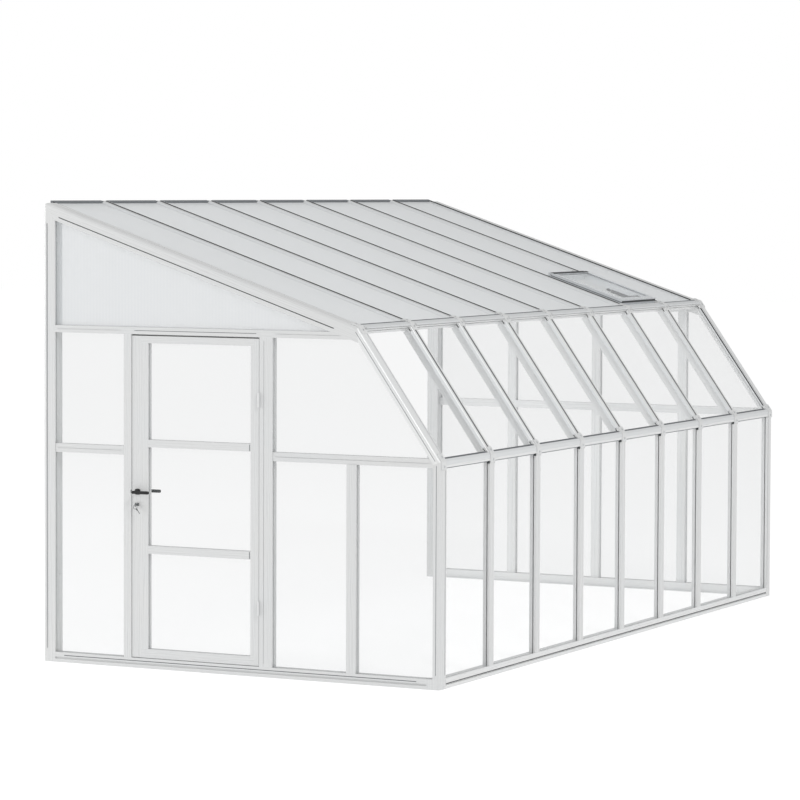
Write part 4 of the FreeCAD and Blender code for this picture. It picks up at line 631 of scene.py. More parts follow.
def gable_sheet(heap, rib_heap, points):
    """A triangular sheet with upright ribs, its skins on one heap and its ribs on another."""
    x0, x1 = min(p.x for p in points), max(p.x for p in points)
    y0, y1 = min(p.y for p in points), max(p.y for p in points)
    z0, z1 = min(p.z for p in points), max(p.z for p in points)
    ribs = rib_places(y0 + TIP, y1)

    def top(y):
        return z0 + (z1 - z0) * (y - y0) / (y1 - y0)

    rings = []
    for y, sink in washboard(y0 + TIP, y1, ribs):
        a, b = x0 + sink, x1 - sink
        rings.append([(a, y, z0), (b, y, z0), (b, y, top(y)), (a, y, top(y))])
    heap.loft(rings)
    for y in ribs:
        a, b = y - RIB_HALF, y + RIB_HALF
        high = top(a) - SKIN
        if high - z0 > TIP:
            rib_heap.loft([[(x0 + SKIN, a, z), (x1 - SKIN, a, z), (x1 - SKIN, b, z), (x0 + SKIN, b, z)]
                           for z in (z0 + SKIN, high)])


gable_heap, gable_rib_heap = Heap(), Heap()
for solid in solids_of("gable_panels"):
    gable_sheet(gable_heap, gable_rib_heap, solid)
add_piece(gable_heap, "gable_sheets", twin_wall_gable, replaced=["gable_panels"])
add_piece(gable_rib_heap, "gable_ribs", twin_wall_ribs)

# %% [markdown]
# Every bar is closed by a snap-on cap with a black rubber gasket down its middle: a stem pressed into the
# cap's groove and a round bead on top, which draws the thin dark line down each bar. A dark stripe in
# the cap's colour could stand for it, but only a real bead catches light on one side. Its section is
# half an ellipse on a stem. On the roof, which the camera sees nearly edge on, the bead is drawn a
# little wider and taller than on the steep bars, so that the line stays visible.

# %% Gasket beads
SEAT_GAP = 0.1 * MM
GROOVE_HALF = 3.8 * MM
GROOVE_LOW = -3.8 * MM
DOME_STEPS = 8
ROOF_BEAD = (5 * MM, 4.2 * MM)
EAVE_BEAD = (4.6 * MM, 3 * MM)


def bead_section(x, half, tall):
    """T-shaped section: the bead as half an ellipse, then the stem in the groove."""
    turn = [math.pi * i / DOME_STEPS for i in range(DOME_STEPS + 1)]
    dome = [(x + half * math.cos(a), tall * math.sin(a) + SEAT_GAP) for a in turn]
    stem = [(x - GROOVE_HALF, SEAT_GAP), (x - GROOVE_HALF, GROOVE_LOW),
            (x + GROOVE_HALF, GROOVE_LOW), (x + GROOVE_HALF, SEAT_GAP)]
    return dome + stem


for node, stretch, bead, name in (("roof_gaskets", ROOF, ROOF_BEAD, "roof_beads"),
                                  ("eave_gaskets", STEEP, EAVE_BEAD, "eave_beads")):
    heap = Heap()
    for solid in solids_of(node):
        (x0, x1), _, (s0, s1) = stretch.spans(solid)
        heap.bar(stretch, bead_section((x0 + x1) / 2, *bead), s0, s1)
    add_piece(heap, name, seal_black, replaced=[node])

# %% [markdown]
# Each cap gets a soft pale lip along both of its edges. It slopes down to the glazing, keeps rain out of
# the step beside the cap and softens that step for the eye. The cap's own edge could be sloped instead,
# but caps of this kind often carry a lip of softer plastic, so it is a bar of its own. The two lips
# beside the vent start above it, because its kerb stands in their way.

# %% Cap lips
ROOF_SHEET_N = -12.5 * MM
PANE_N = -16 * MM
CAP_HALF = 30 * MM
LIP_OUT = 12 * MM
LIP_TOP = -2.2 * MM
LIP_TOE = 0.3 * MM
CLIP_REACH = 0.050
HOUSE_SEAL = 0.018
VENT_BAY = 6
VENT_CLEAR = 0.060


def lip_section(x, side, glass):
    """Section of a lip on one side of the cap at x, sloping down to the glazing."""
    edge = x + side * (CAP_HALF + SEAT_GAP)
    toe = edge + side * LIP_OUT
    low = glass + LIP_TOE / 2
    return [(edge, LIP_TOP), (edge + side * MM, LIP_TOP), (toe, glass + 2 * LIP_TOE), (toe, low),
            (edge, low)]


vent_top = ROOF.spans(points_of("vent_kerb"))[2][1]
lips = Heap()
for k in range(1, BAYS):
    for side in (-1, 1):
        beside_vent = (k, side) in ((VENT_BAY, 1), (VENT_BAY + 1, -1))
        roof_start = vent_top + VENT_CLEAR if beside_vent else CLIP_REACH
        lips.bar(STEEP, lip_section(BAR_X[k], side, PANE_N), CLIP_REACH, STEEP.length - CLIP_REACH)
        lips.bar(ROOF, lip_section(BAR_X[k], side, ROOF_SHEET_N), roof_start, ROOF.length - HOUSE_SEAL)
add_piece(lips, "cap_lips", lip_pale)

# %% [markdown]
# Where the roof and the steep glazing run into the end frames there is no cap. The sheet dips into a slot
# and a two-part wiper closes the step above it: a pale foot on the glazing and a black lip along the top.
# One bar in one colour would be simpler, but two are needed for the two tones. From the camera mostly
# the far end's wiper is seen, as the dark edge along the skyline. Its black lip is partly a real wiper
# and partly painted shade, for the shade on the far end's step, which faces the camera.

# %% End wipers
STEP_X = DOOR_X + END_WIDE
WIPER_TOP = -0.5 * MM
WIPER_JOIN = -7.5 * MM
WIPER_THICK = 2.5 * MM
WIPER_REACH = 9 * MM
WIPER_TOE = 1.2 * MM
FACE_GAP = 0.2 * MM


def wiper_foot(glass):
    """Foot against the end frame's step, bent out over the glazing."""
    toe = glass + FACE_GAP
    return [(STEP_X + FACE_GAP, toe), (STEP_X + WIPER_REACH, toe), (STEP_X + WIPER_REACH, toe + WIPER_TOE),
            (STEP_X + WIPER_THICK, WIPER_JOIN), (STEP_X + FACE_GAP, WIPER_JOIN)]


# The black lip is partly painted shade on the step of the far end.
wiper_lip = [(STEP_X + FACE_GAP, WIPER_JOIN), (STEP_X + WIPER_THICK, WIPER_JOIN),
             (STEP_X + WIPER_THICK, WIPER_TOP - MM), (STEP_X + WIPER_THICK - MM, WIPER_TOP),
             (STEP_X + FACE_GAP, WIPER_TOP)]
feet, lip_tops = Heap(), Heap()
for stretch, glass, start, end in ((ROOF, ROOF_SHEET_N, CLIP_REACH, ROOF.length - HOUSE_SEAL),
                                   (STEEP, PANE_N, CLIP_REACH, STEEP.length - CLIP_REACH)):
    for heap, section in ((feet, wiper_foot(glass)), (lip_tops, wiper_lip)):
        heap.bar(stretch, section, start, end)
        heap.bar(stretch, mirrored(section), start, end)
add_piece(feet, "wiper_feet", lip_pale)
add_piece(lip_tops, "end_wipers_and_shade", seal_black)

# %% [markdown]
# The end frames are grooved, and soft seal is pressed into the grooves: black along the roof rafters and
# grey in the corner posts and the steep rafters. The grooves alone would show as thin shadows, lighter
# than the lines in the picture. So each gets a seal: a stem in its groove under a low flat bead, which
# shows as a clean line of the groove's width or a little more.

# %% Seals in the grooves
GROOVE = 3 * MM
RAFTER_GROOVE_N = -57.5 * MM
CORNER_GROOVE_N = -23.5 * MM
RAFTER_LINE = (2.6 * MM, 1.0 * MM)
CORNER_LINE = (GROOVE / 2, 0.3 * MM)
CORNER_PLUG = 0.130
SCORE_STOP = 0.020
POST_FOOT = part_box("corner_posts")[0][2]


def groove_bead(face, place, half, proud):
    """Section of a seal in a groove of an end frame's outer face, as (x, n)."""
    stem = GROOVE / 2 - FACE_GAP
    floor_x = face + GROOVE - FACE_GAP
    lip_x = face - SEAT_GAP
    return [(floor_x, place - stem), (floor_x, place + stem), (lip_x, place + stem), (lip_x, place + half),
            (face - proud, place + half / 2), (face - proud, place - half / 2), (lip_x, place - half),
            (lip_x, place - stem)]


black_lines = Heap()
rafter_bead = groove_bead(DOOR_X, RAFTER_GROOVE_N, *RAFTER_LINE)
for section in (rafter_bead, mirrored(rafter_bead)):
    black_lines.bar(ROOF, section, CORNER_PLUG + MM, ROOF.length - CORNER_PLUG - MM)
add_piece(black_lines, "rafter_seals", seal_black)

grey_lines = Heap()
corner_bead = groove_bead(DOOR_X, CORNER_GROOVE_N, *CORNER_LINE)
for section in (corner_bead, mirrored(corner_bead)):
    grey_lines.bar(STEEP, section, SCORE_STOP + MM, STEEP.length - SCORE_STOP - MM)
    grey_lines.bar(FRONT, section, POST_FOOT + SCORE_STOP + MM, FRONT.length - SCORE_STOP - MM)
add_piece(grey_lines, "corner_seals", seal_grey)

# %% [markdown]
# A flat grey strip runs beside the panes on the front of the end frames and up the face of the house
# posts, the line of a seal that closes a joint. It could be a band of colour in the white finish, but a
# band would turn up on every profile with that finish. So it is a bar just over half a millimetre high.

# %% Flat strips
INNER_LINE_X = STEP_X - 14 * MM
STRIP_HALF = 1.4 * MM
STRIP_PROUD = 0.6 * MM
STRIP_GAP = 0.05 * MM
STRIP_ROUND = STRIP_PROUD / 4
POST_LINE = 29 * MM
POST_LINE_TOP = 0.130


def flat_strip(x):
    """Section of a flat strip that lies on a face, as (x, n)."""
    return [(x - STRIP_HALF, STRIP_GAP), (x + STRIP_HALF, STRIP_GAP),
            (x + STRIP_HALF / 2, STRIP_PROUD), (x - STRIP_HALF / 2, STRIP_PROUD)]


strips = Heap()
for x in (INNER_LINE_X, -INNER_LINE_X):
    strips.bar(FRONT, flat_strip(x), POST_FOOT + SCORE_STOP, EAVE_Z - CLIP_REACH)
    strips.bar(STEEP, flat_strip(x), CLIP_REACH + MM, STEEP.length - CLIP_REACH - MM)
post_low, post_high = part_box("house_posts")
post_line_y = post_high.y - POST_LINE
for face, out in ((DOOR_X, -1), (-DOOR_X, 1)):
    shallow, proud = sorted((face + out * STRIP_GAP, face + out * STRIP_PROUD))
    strips.block((shallow, post_line_y - STRIP_HALF, post_low.z + SCORE_STOP),
                 (proud, post_line_y + STRIP_HALF, ROOF_Z - POST_LINE_TOP), STRIP_ROUND)
add_piece(strips, "pane_edge_seals", seal_grey)

# %% [markdown]
# A fillet of grey seal closes the corner where each steep pane stands on the eave rail. A low fillet, a
# few millimetres high as such seals are, would be nearly edge on to the camera. So it is drawn taller,
# as a wedge that leans on the pane, and the dark line above the rail shows as it does in the picture.
# That grey is partly a real seal and partly painted shade, for the shade in the corner above the rail.

# %% Eave fillets
EAVE_RISE = 16 * MM
FILLET_TALL = 16 * MM
FILLET_HEAD = 2.4 * MM
FILLET_FRONT = -0.4 * MM
FILLET_BEND = (-5 * MM, EAVE_RISE + 3 * MM)
CLIP_CLEAR = 31 * MM


def between_clips(bay):
    """The range of x in a bay that the clips on its bars leave free."""
    return max(BAR_X[bay] + CLIP_CLEAR, STEP_X), min(BAR_X[bay + 1] - CLIP_CLEAR, -STEP_X)


pane_foot = PANE_N + FACE_GAP
fillet_low = EAVE_RISE + FACE_GAP
fillet_top = EAVE_RISE + FILLET_TALL
# The grey wedge is partly painted shade in the corner above the eave rail.
fillet = [(FILLET_FRONT, fillet_low), (pane_foot, fillet_low), (pane_foot, fillet_top),
          (pane_foot + FILLET_HEAD, fillet_top), FILLET_BEND]
fillets = Heap()
for bay in range(BAYS):
    fillets.across(STEEP, fillet, *between_clips(bay))
add_piece(fillets, "eave_fillets_painted_shade", seal_grey)

# %% [markdown]
# At the knee the roof sheets end in a rail with a drip lip. A pale drip profile is snapped over that lip
# between the clips: a flat top that carries the rain off the sheets, and a nose turned down in front.
# Along its upper edge lies a grey bead, which is painted shadow: the dark line of the shadow under the
# lower edge of the roof sheets. Profile and bead could be one bar, but they are two materials, and the
# bead leaves out the bay of the vent.

# %% Drip profile at the knee
DRIP_TOP = 26 * MM
DRIP_TIP = -22 * MM
DRIP_FRONT = DRIP_TIP - 2.2 * MM
DRIP_BACK = DRIP_TIP - FACE_GAP
DRIP_BEND = DRIP_TIP - 0.6 * MM
DRIP_SKIN = 1.2 * MM
DRIP_ROUND = 1.5 * MM
DRIP_NOSE = 7 * MM
drip = [(SEAT_GAP, DRIP_TOP), (DRIP_SKIN, DRIP_TOP - MM), (DRIP_SKIN, DRIP_BEND),
        (DRIP_SKIN - DRIP_ROUND, DRIP_FRONT), (-DRIP_NOSE, DRIP_FRONT), (-DRIP_NOSE, DRIP_BACK),
        (SEAT_GAP, DRIP_BACK)]

# The grey bead is painted shadow, under the lower edge of the roof sheets.
BEAD_TOP = DRIP_TOP - 2 * MM
BEAD_FOOT = DRIP_TOP - 7 * MM
BEAD_LOW = DRIP_SKIN + SEAT_GAP
BEAD_PROUD = 4 * MM
shadow_bead = [(BEAD_LOW, BEAD_TOP), (BEAD_PROUD, BEAD_TOP - MM), (BEAD_PROUD, BEAD_FOOT + MM),
             (BEAD_LOW, BEAD_FOOT)]
drips, shadow_beads = Heap(), Heap()
for bay in range(BAYS):
    drips.across(ROOF, drip, *between_clips(bay))
    if bay != VENT_BAY:
        shadow_beads.across(ROOF, shadow_bead, *between_clips(bay))
add_piece(drips, "knee_drip", drip_pale)
add_piece(shadow_beads, "knee_shadow_beads", seal_grey)

# %% [markdown]
# The eave rail has a cover of the same pale PVC, bent over the rail's edge between the clips. A folded
# sheet like this could be a thin plane with a solidify modifier. Here its section is worked out, because
# the fold has to follow the angle between wall and steep glazing at every distance from the rail.

# %% Eave cover
COVER_UP = 15 * MM
COVER_DOWN = 20 * MM
COVER_THICK = 1.2 * MM


def eave_corner(n):
    """Distance up the steep stretch at which its line n out meets the wall's line n out."""
    bend = math.acos(STEEP.along.z)
    return -n * math.tan(bend / 2)


covers = Heap()
cover_foot = EAVE_Z - COVER_DOWN
for bay in range(BAYS):
    rings = []
    for x in between_clips(bay):
        rings.append([STEEP.at(x, SEAT_GAP, COVER_UP), STEEP.at(x, COVER_THICK, COVER_UP - MM),
                      STEEP.at(x, COVER_THICK, eave_corner(COVER_THICK)),
                      FRONT.at(x, COVER_THICK, cover_foot + MM), FRONT.at(x, SEAT_GAP, cover_foot),
                      STEEP.at(x, SEAT_GAP, eave_corner(SEAT_GAP))])
    covers.loft(rings)
add_piece(covers, "eave_cover", drip_pale)

# %% [markdown]
# Under the eave rail a grey bead runs along the top of each wall pane, and it ends at each bar in a black
# plug. The plugs are painted shade: the small dark marks at the heads of the wall bars are the shade in
# the grooves under the rail. They could be part of the bead, but they are darker and stand further out,
# so each is a short bar of its own, sloped to the bar's face.

# %% Beads and shade plugs under the eave
PLUG_WIDE = 8 * MM
PLUG_TALL = 15 * MM
PLUG_TOE = 3 * MM
UNDER_TALL = 7 * MM
UNDER_FOOT = 4 * MM
UNDER_HEAD = 6 * MM

pane_face = FRONT.spans(points_of("wall_panes"))[1][1] + FACE_GAP
rail_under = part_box("eave_rail")[0].z - FACE_GAP
under_low = rail_under - UNDER_TALL
under_bead = [(pane_face, rail_under), (pane_face, under_low), (pane_face + UNDER_FOOT, under_low + MM),
              (pane_face + UNDER_HEAD, rail_under)]
# The black plugs are painted shade at the heads of the wall bars.
shade_plugs, under_beads = Heap(), Heap()
for k in range(1, BAYS):
    for side in (-1, 1):
        edge = BAR_X[k] + side * (CAP_HALF + SEAT_GAP)
        outer = edge + side * PLUG_WIDE
        shade_plug = [(edge, pane_face), (outer, pane_face), (outer, pane_face + PLUG_TOE),
                (edge + side * PLUG_TOE, -MM), (edge, -MM)]
        shade_plugs.bar(FRONT, shade_plug, rail_under - PLUG_TALL, rail_under)
for bay in range(BAYS):
    left = STEP_X if bay == 0 else BAR_X[bay] + CAP_HALF + PLUG_WIDE
    right = -STEP_X if bay == BAYS - 1 else BAR_X[bay + 1] - CAP_HALF - PLUG_WIDE
    under_beads.across(FRONT, under_bead, left + MM, right - MM)
add_piece(shade_plugs, "groove_shade_plugs", seal_black)
add_piece(under_beads, "eave_under_beads", seal_mid)

# %% [markdown]
# The black strip in the base rail's groove at the front is painted shadow, the dark line of the shade
# under the groove's upper lip, and along the ends of the sunroom the base carries a flat dark strip. A
# round strip could be a curve with a round bevel, but it is straight and mostly hidden in its groove, so
# chamfered blocks will do for both.

# %% Base groove shadow and end strips
GROOVE_TOP = 30 * MM
BASE_SHADOW_TALL = 5 * MM
BASE_SHADOW_DOWN = 0.3 * MM
BASE_SHADOW_ROUND = 1.2 * MM
BASE_SHADOW_Y = (FRONT_Y + 1.2 * MM, FRONT_Y + 5.6 * MM)
base_low, base_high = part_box("base_front")
# The black strip in the front groove is painted shadow.
base_groove_shadow = Heap()
base_groove_shadow.block((base_low.x + MM, BASE_SHADOW_Y[0], GROOVE_TOP - BASE_SHADOW_TALL - BASE_SHADOW_DOWN),
                (base_high.x - MM, BASE_SHADOW_Y[1], GROOVE_TOP - BASE_SHADOW_DOWN), BASE_SHADOW_ROUND)
add_piece(base_groove_shadow, "base_groove_shadow", seal_black)

END_STRIP_Z = 40 * MM
END_STRIP_HALF = 2 * MM
END_STRIP_IN = 0.060
end_strips = Heap()
for node, side in (("base_door_end", -1), ("base_far_end", 1)):
    end_low, end_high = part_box(node)
    shallow, proud = sorted((side * (-DOOR_X + STRIP_GAP), side * (-DOOR_X + STRIP_PROUD)))
    end_strips.block((shallow, end_low.y + END_STRIP_IN, END_STRIP_Z - END_STRIP_HALF),
                     (proud, end_high.y - END_STRIP_IN, END_STRIP_Z + END_STRIP_HALF), STRIP_ROUND)
add_piece(end_strips, "base_end_strips", seal_grey)

# %% [markdown]
# Over the door the header has its own line of grey seal, and the leaf's lock edge carries a pale brush
# strip in the gap to the jamb. Single bristles could be grown with a hair system, but in a gap of a few
# millimetres nobody could tell them apart, so the brush is one bar. It rides on the door and swings
# with the leaf, while the line over the door stays on the frame.

# %% Header seal and door brush
HEADER_LINE_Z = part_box("header_door_end")[0][2] + 21 * MM
HEADER_LINE_X = (DOOR_X - 0.5 * MM, DOOR_X + 2.8 * MM)
LINE_HALF = 1.3 * MM
LINE_ROUND = 0.4 * MM
hinge_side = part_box("hinge_jamb")[1].y + SCORE_STOP
latch_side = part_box("latch_jamb")[0].y - SCORE_STOP
header_line = Heap()
header_line.block((HEADER_LINE_X[0], hinge_side + MM, HEADER_LINE_Z - LINE_HALF),
                  (HEADER_LINE_X[1], latch_side - MM, HEADER_LINE_Z + LINE_HALF), LINE_ROUND)
add_piece(header_line, "header_seal", seal_grey)

stile_low, stile_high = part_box("door_lock_stile")
BRUSH_X = (stile_low.x + 0.5 * MM, stile_low.x + 6 * MM)
BRUSH_Y = (stile_high.y + SEAT_GAP, stile_high.y + 2.6 * MM)
BRUSH_STOP = 5 * MM
BRUSH_ROUND = 0.8 * MM
brush = Heap()
brush.block((BRUSH_X[0], BRUSH_Y[0], stile_low.z + BRUSH_STOP),
            (BRUSH_X[1], BRUSH_Y[1], stile_high.z - BRUSH_STOP), BRUSH_ROUND)
add_piece(brush, "door_brush", clip_white, "door")

# %% [markdown]
# Where the middle rails of the door meet the hinge stile, a short grey sealing strip shows on each. Its
# place could be typed in, but then it would stay behind if a rail were moved. So it is taken from the
# rails: the lowest and the highest are dropped, and the front face of the others is measured.

# %% Rail end seals
RAIL_END = (4 * MM, 8 * MM)
RAIL_END_IN = 4 * MM
rail_ends = Heap()
middle_rails = sorted(solids_of("door_rails"), key=lambda solid: min(point.z for point in solid))[1:-1]
for solid in middle_rails:
    face = min(point.x for point in solid)
    front = [point for point in solid if point.x < face + MM]
    hinge_end = min(point.y for point in front)
    foot = min(point.z for point in front) + RAIL_END_IN
    head = max(point.z for point in front) - RAIL_END_IN
    rail_ends.block((face - STRIP_PROUD, hinge_end + RAIL_END[0], foot),
                    (face - STRIP_GAP, hinge_end + RAIL_END[1], head), STRIP_ROUND)
add_piece(rail_ends, "rail_end_seals", seal_grey, "door")

# %% [markdown]
# Each clip over an eave or knee joint is held by two pan-head screws with a hexagon socket, one on each
# leg of the clip. A screw could be a cylinder with a bevel and a boolean for the socket. But screws are
# turned parts, so each is a stack of rings: flange, dome and the socket's walls, and the last ring
# closes the socket's floor.

# %% Clip screws
CLIP_THICK = 6 * MM
SCREW_SIDES = 24
# Radius and height of each ring in millimetres.
SCREW_RINGS = ((6.4, 0.0), (6.4, 1.1), (5.6, 2.2), (4.2, 2.8), (2.7, 3.0))
SOCKET_RINGS = ((2.5, 2.9), (2.4, 1.2))
SCREW_IN = 0.027


def hexagon(angle):
    """Radius of a hexagon with inner radius 1 in a direction."""
    sixth = math.pi / 3
    return 1 / math.cos((angle % sixth) - sixth / 2)


def screw(heap, stretch, x, s):
    """A screw whose head stands out from the clip at x and s of a stretch."""
    turn = [2 * math.pi * i / SCREW_SIDES for i in range(SCREW_SIDES)]
    outlines = [([radius * MM] * SCREW_SIDES, rise) for radius, rise in SCREW_RINGS]
    outlines += [([radius * MM * hexagon(a) for a in turn], rise) for radius, rise in SOCKET_RINGS]
    rings = []
    for radii, rise in outlines:
        rings.append([stretch.at(x + radius * math.cos(a), CLIP_THICK + rise * MM, s + radius * math.sin(a))
                      for radius, a in zip(radii, turn)])
    heap.loft(rings)


screws = Heap()
for x in BAR_X:
    screw(screws, FRONT, x, EAVE_Z - SCREW_IN)
    screw(screws, STEEP, x, SCREW_IN)
    screw(screws, STEEP, x, STEEP.length - SCREW_IN)
    screw(screws, ROOF, x, SCREW_IN)
add_piece(screws, "clip_screws", lock_steel)

# %% [markdown]
# The vent is a sash on a kerb, and rubber goes round it: a black flap at its foot, a grey lip down each
# side, a black strip along its head and a round black cover over the hinge rod. One tube around the
# sash would be quicker, but it would block the hinge. All of it rides on the vent and lifts with it.

# %% Vent flap and side lips
(vent_x0, vent_x1), (vent_n0, vent_n1), (vent_s0, vent_s1) = ROOF.spans(points_of("vent_frame"))
FLAP = 2.0 * MM
FLAP_LEAN = 0.7
FLAP_TALL = 11 * MM
LIP_FOOT = 1.8 * MM
LIP_HEAD = 1.4 * MM
LIP_TALL = 3 * MM
SLEEVE_R = 7 * MM
PIN_S = vent_s1 - SLEEVE_R

vent_low = vent_n0 + 0.3 * MM
vent_seals, side_lips = Heap(), Heap()
flap = [(vent_low, vent_s0 - FLAP), (vent_n0 + FLAP_TALL, vent_s0 - FLAP * FLAP_LEAN),
        (vent_n0 + FLAP_TALL + MM, vent_s0 - SEAT_GAP), (vent_low, vent_s0 - SEAT_GAP)]
vent_seals.across(ROOF, flap, vent_x0 + MM, vent_x1 - MM)
for edge, side in ((vent_x0, -1), (vent_x1, 1)):
    lip = [(edge + side * SEAT_GAP, vent_low), (edge + side * LIP_FOOT, vent_low),
           (edge + side * LIP_HEAD, vent_n0 + LIP_TALL), (edge + side * SEAT_GAP, vent_n0 + LIP_TALL + MM)]
    side_lips.bar(ROOF, lip, vent_s0, PIN_S - 2 * SLEEVE_R)
print(f"vent {(vent_x1 - vent_x0) / MM:.0f} by {(vent_s1 - vent_s0) / MM:.0f} mm")

# %% [markdown]
# The cover over the hinge rod is a piece of split tube, and it stays clear of the ears that hold the
# rod. A tube could be cut open with a boolean, but an arc drawn out and back gives the same section
# with clean edges. The strip along the head is a low flat bar.

# %% Hinge cover and head strip
PIN_N = 14 * MM
COVER_ARC = [math.radians(a) for a in range(-20, 141, 20)]
COVER_OUTER = SLEEVE_R + 1.4 * MM
COVER_INNER = SLEEVE_R + FACE_GAP
EAR_CLEAR = 14 * MM
HEAD_STRIP = (vent_s1 - 40 * MM, vent_s1 - 22 * MM)
HEAD_PROUD = vent_n1 + 2.5 * MM

cover = []
for radius, arc in ((COVER_OUTER, COVER_ARC), (COVER_INNER, COVER_ARC[::-1])):
    cover += [(PIN_N + radius * math.sin(a), PIN_S + radius * math.cos(a)) for a in arc]
vent_seals.across(ROOF, cover, vent_x0 + EAR_CLEAR, vent_x1 - EAR_CLEAR)
head_strip = [(vent_n1 + SEAT_GAP, HEAD_STRIP[0]), (HEAD_PROUD, HEAD_STRIP[0] + MM),
              (HEAD_PROUD, HEAD_STRIP[1] - MM), (vent_n1 + SEAT_GAP, HEAD_STRIP[1])]
vent_seals.across(ROOF, head_strip, vent_x0 + MM, vent_x1 - MM)
add_piece(vent_seals, "vent_seals", seal_black, "vent")
add_piece(side_lips, "vent_side_lips", seal_grey, "vent")

# %% [markdown]
# The stay shows through the vent's sheet as a dark stroke with a thicker end. What it is exactly can't be
# seen, so this is a guess: an arm with a grip, which is a thin web that stands on the arm and a thumb
# knob at its free end. The arm alone could be made darker, but it lies too deep under the milky sheet
# to show. Web and knob reach up to just below the sheet, and they ride on the stay.

# %% Stay grip
(arm_x0, arm_x1), (arm_n0, arm_n1), (arm_s0, arm_s1) = ROOF.spans(points_of("stay_arm"))
sheet_under = ROOF.spans(points_of("vent_panel"))[1][0]
WEB_CLEAR = 1.5 * MM
WEB_START = 0.030
WEB_HALF = 3 * MM
KNOB_HALF = 9 * MM
KNOB_LONG = 0.034
KNOB_STEPS = 6
KNOB_SIDES = 16

arm_x = (arm_x0 + arm_x1) / 2
web_low = arm_n1 + SEAT_GAP
web_top = sheet_under - WEB_CLEAR
web = [(arm_x - WEB_HALF, web_low), (arm_x + WEB_HALF, web_low), (arm_x + WEB_HALF, web_top - MM),
       (arm_x + WEB_HALF - MM, web_top), (arm_x - WEB_HALF + MM, web_top), (arm_x - WEB_HALF, web_top - MM)]
knob_n = web_top - KNOB_HALF - MM
around = [2 * math.pi * i / KNOB_SIDES for i in range(KNOB_SIDES)]
knob_rings = []
for step in range(KNOB_STEPS + 1):
    angle = math.pi * (step / KNOB_STEPS - 0.5)
    wide = KNOB_HALF * math.cos(angle) + MM
    s = arm_s1 + FACE_GAP + KNOB_LONG / 2 * (1 + math.sin(angle))
    knob_rings.append([ROOF.at(arm_x + wide * math.cos(a), knob_n + wide * math.sin(a), s) for a in around])
grip = Heap()
grip.bar(ROOF, web, arm_s0 + WEB_START, arm_s1)
grip.loft(knob_rings)
add_piece(grip, "stay_grip", stay_grey, "stay")
print(f"stay arm n {arm_n0 / MM:.1f} to {arm_n1 / MM:.1f}, sheet from {sheet_under / MM:.1f} mm")

# %% [markdown]
# The stay's bracket gets a flange that turns up beside the sash's foot and lies under the sheet, where
# it draws the short dark foot of the stroke. It too is a guess from the picture. A plain block would
# do for the camera, but a bent plate is how such a bracket would be made. It rides on the vent.

# %% Bracket flange
FLANGE_LIFT = 5 * MM
FLANGE_THICK = 4 * MM
FLANGE_DEEP = 0.050

(_, bracket_x1), _, (_, bracket_s1) = ROOF.spans(points_of("stay_bracket"))
flange_low = arm_n1 + FLANGE_LIFT
plate_low = web_top - FLANGE_THICK
flange = [(flange_low, bracket_s1 + FACE_GAP), (flange_low, bracket_s1 + FLANGE_THICK),
          (plate_low, bracket_s1 + FLANGE_THICK), (plate_low, bracket_s1 + FLANGE_DEEP),
          (web_top, bracket_s1 + FLANGE_DEEP), (web_top, bracket_s1 + FACE_GAP)]
bracket_flange = Heap()
bracket_flange.across(ROOF, flange, arm_x1 + WEB_HALF, bracket_x1)
add_piece(bracket_flange, "bracket_flange", stay_grey, "vent")

# %% [markdown]
# The studio floor is a large sheet of white paper. A very bright lamp could make it white, but it would
# wash out the sunroom as well. So the floor glows where the camera sees it, directly or in gloss and
# glass, and gives off less as a light, the way a lit sheet of paper brightens what stands on it. Its
# glow stays below full white and the rest is light that falls on it, so that a faint shadow is kept.

# %% Floor
FLOOR_HALF = 60.0
FLOOR_DROP = 0.001
PAPER = "#E8E8E8"
PAPER_BOUNCE = 0.42
PAPER_SHOWN = "#A0A0A0"
PAPER_GLOW = 0.78

floor_mesh = bpy.data.meshes.new("studio_floor")
floor_mesh.from_pydata([(-FLOOR_HALF, -FLOOR_HALF, 0), (FLOOR_HALF, -FLOOR_HALF, 0),
                        (FLOOR_HALF, FLOOR_HALF, 0), (-FLOOR_HALF, FLOOR_HALF, 0)], [], [(0, 1, 2, 3)])
floor = bpy.data.objects.new("studio_floor", floor_mesh)
floor.location.z = -FLOOR_DROP
scene.collection.objects.link(floor)

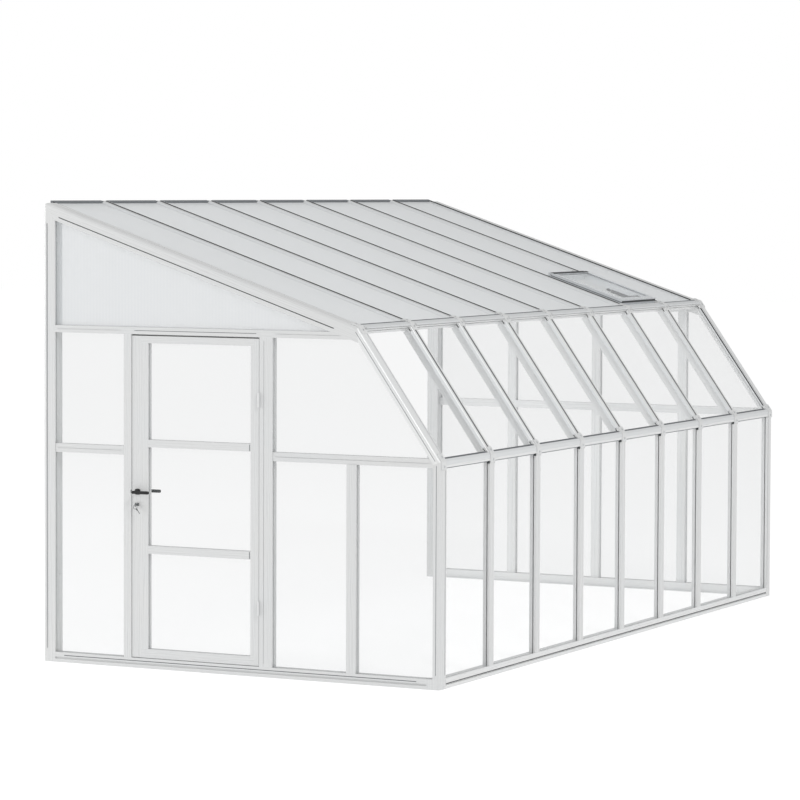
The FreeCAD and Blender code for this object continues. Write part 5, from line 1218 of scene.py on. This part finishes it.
paper = bpy.data.materials.new("white_paper_floor")
paper.use_nodes = True
tree = paper.node_tree
tree.nodes.clear()
ray = add_node(tree, "ShaderNodeLightPath")
seen = add_node(tree, "ShaderNodeMath",
                {0: ray.outputs["Is Camera Ray"], 1: ray.outputs["Is Glossy Ray"]}, operation="MAXIMUM")
seen = add_node(tree, "ShaderNodeMath",
                {0: seen.outputs[0], 1: ray.outputs["Is Transmission Ray"]}, operation="MAXIMUM")
matt = add_node(tree, "ShaderNodeBsdfDiffuse", {"Color": linear(PAPER)})
lift = add_node(tree, "ShaderNodeEmission", {"Strength": PAPER_BOUNCE})
bounce = add_node(tree, "ShaderNodeAddShader", {0: matt.outputs[0], 1: lift.outputs[0]})
shade = add_node(tree, "ShaderNodeBsdfDiffuse", {"Color": linear(PAPER_SHOWN)})
glow = add_node(tree, "ShaderNodeEmission", {"Strength": PAPER_GLOW})
shown = add_node(tree, "ShaderNodeAddShader", {0: shade.outputs[0], 1: glow.outputs[0]})
either = add_node(tree, "ShaderNodeMixShader",
                  {0: seen.outputs[0], 1: bounce.outputs[0], 2: shown.outputs[0]})
add_node(tree, "ShaderNodeOutputMaterial", {"Surface": either.outputs[0]})
floor_mesh.materials.append(paper)
print(f"floor {2 * FLOOR_HALF:.0f} m wide, glow {PAPER_GLOW}")

# %% [markdown]
# The light is an even white sky with two broad soft lamps: one high behind the camera and one that shines
# in from the open house side. A photograph of a sky could light the scene, but plain white keeps the
# whites of the sunroom neutral. The sky is full white where the camera sees it and dimmer as a light,
# so that pale profiles don't wash out.

# %% Sky and lamps
SKY_LIGHT = 0.64
SKY_SHOWN = 1.0
# Name, place, target, width in metres and watts of each lamp.
LAMPS = (
    ("key_lamp", (-8.0, -9.6, 11.0), (0, 0, 1.2), 3.0, 560),
    ("house_lamp", (-5.0, 9.5, 4.0), (1.0, 0, 1.0), 6.0, 470),
)

sky = bpy.data.worlds.new("studio_sky")
scene.world = sky
sky.use_nodes = True
tree = sky.node_tree
tree.nodes.clear()
ray = add_node(tree, "ShaderNodeLightPath")
seen = add_node(tree, "ShaderNodeMath",
                {0: ray.outputs["Is Camera Ray"], 1: ray.outputs["Is Transmission Ray"]},
                operation="MAXIMUM")
level = add_node(tree, "ShaderNodeMapRange",
                 {"Value": seen.outputs[0], "To Min": SKY_LIGHT, "To Max": SKY_SHOWN})
air = add_node(tree, "ShaderNodeBackground", {"Color": (1, 1, 1, 1), "Strength": level.outputs[0]})
add_node(tree, "ShaderNodeOutputWorld", {"Surface": air.outputs[0]})

for name, place, target, size, watts in LAMPS:
    light = bpy.data.lights.new(name, "AREA")
    light.size = size
    light.energy = watts
    lamp = bpy.data.objects.new(name, light)
    lamp.location = place
    lamp.rotation_euler = (Vector(target) - Vector(place)).to_track_quat("-Z", "Y").to_euler()
    scene.collection.objects.link(lamp)
    print(f"{name}: {watts} W from {place}")
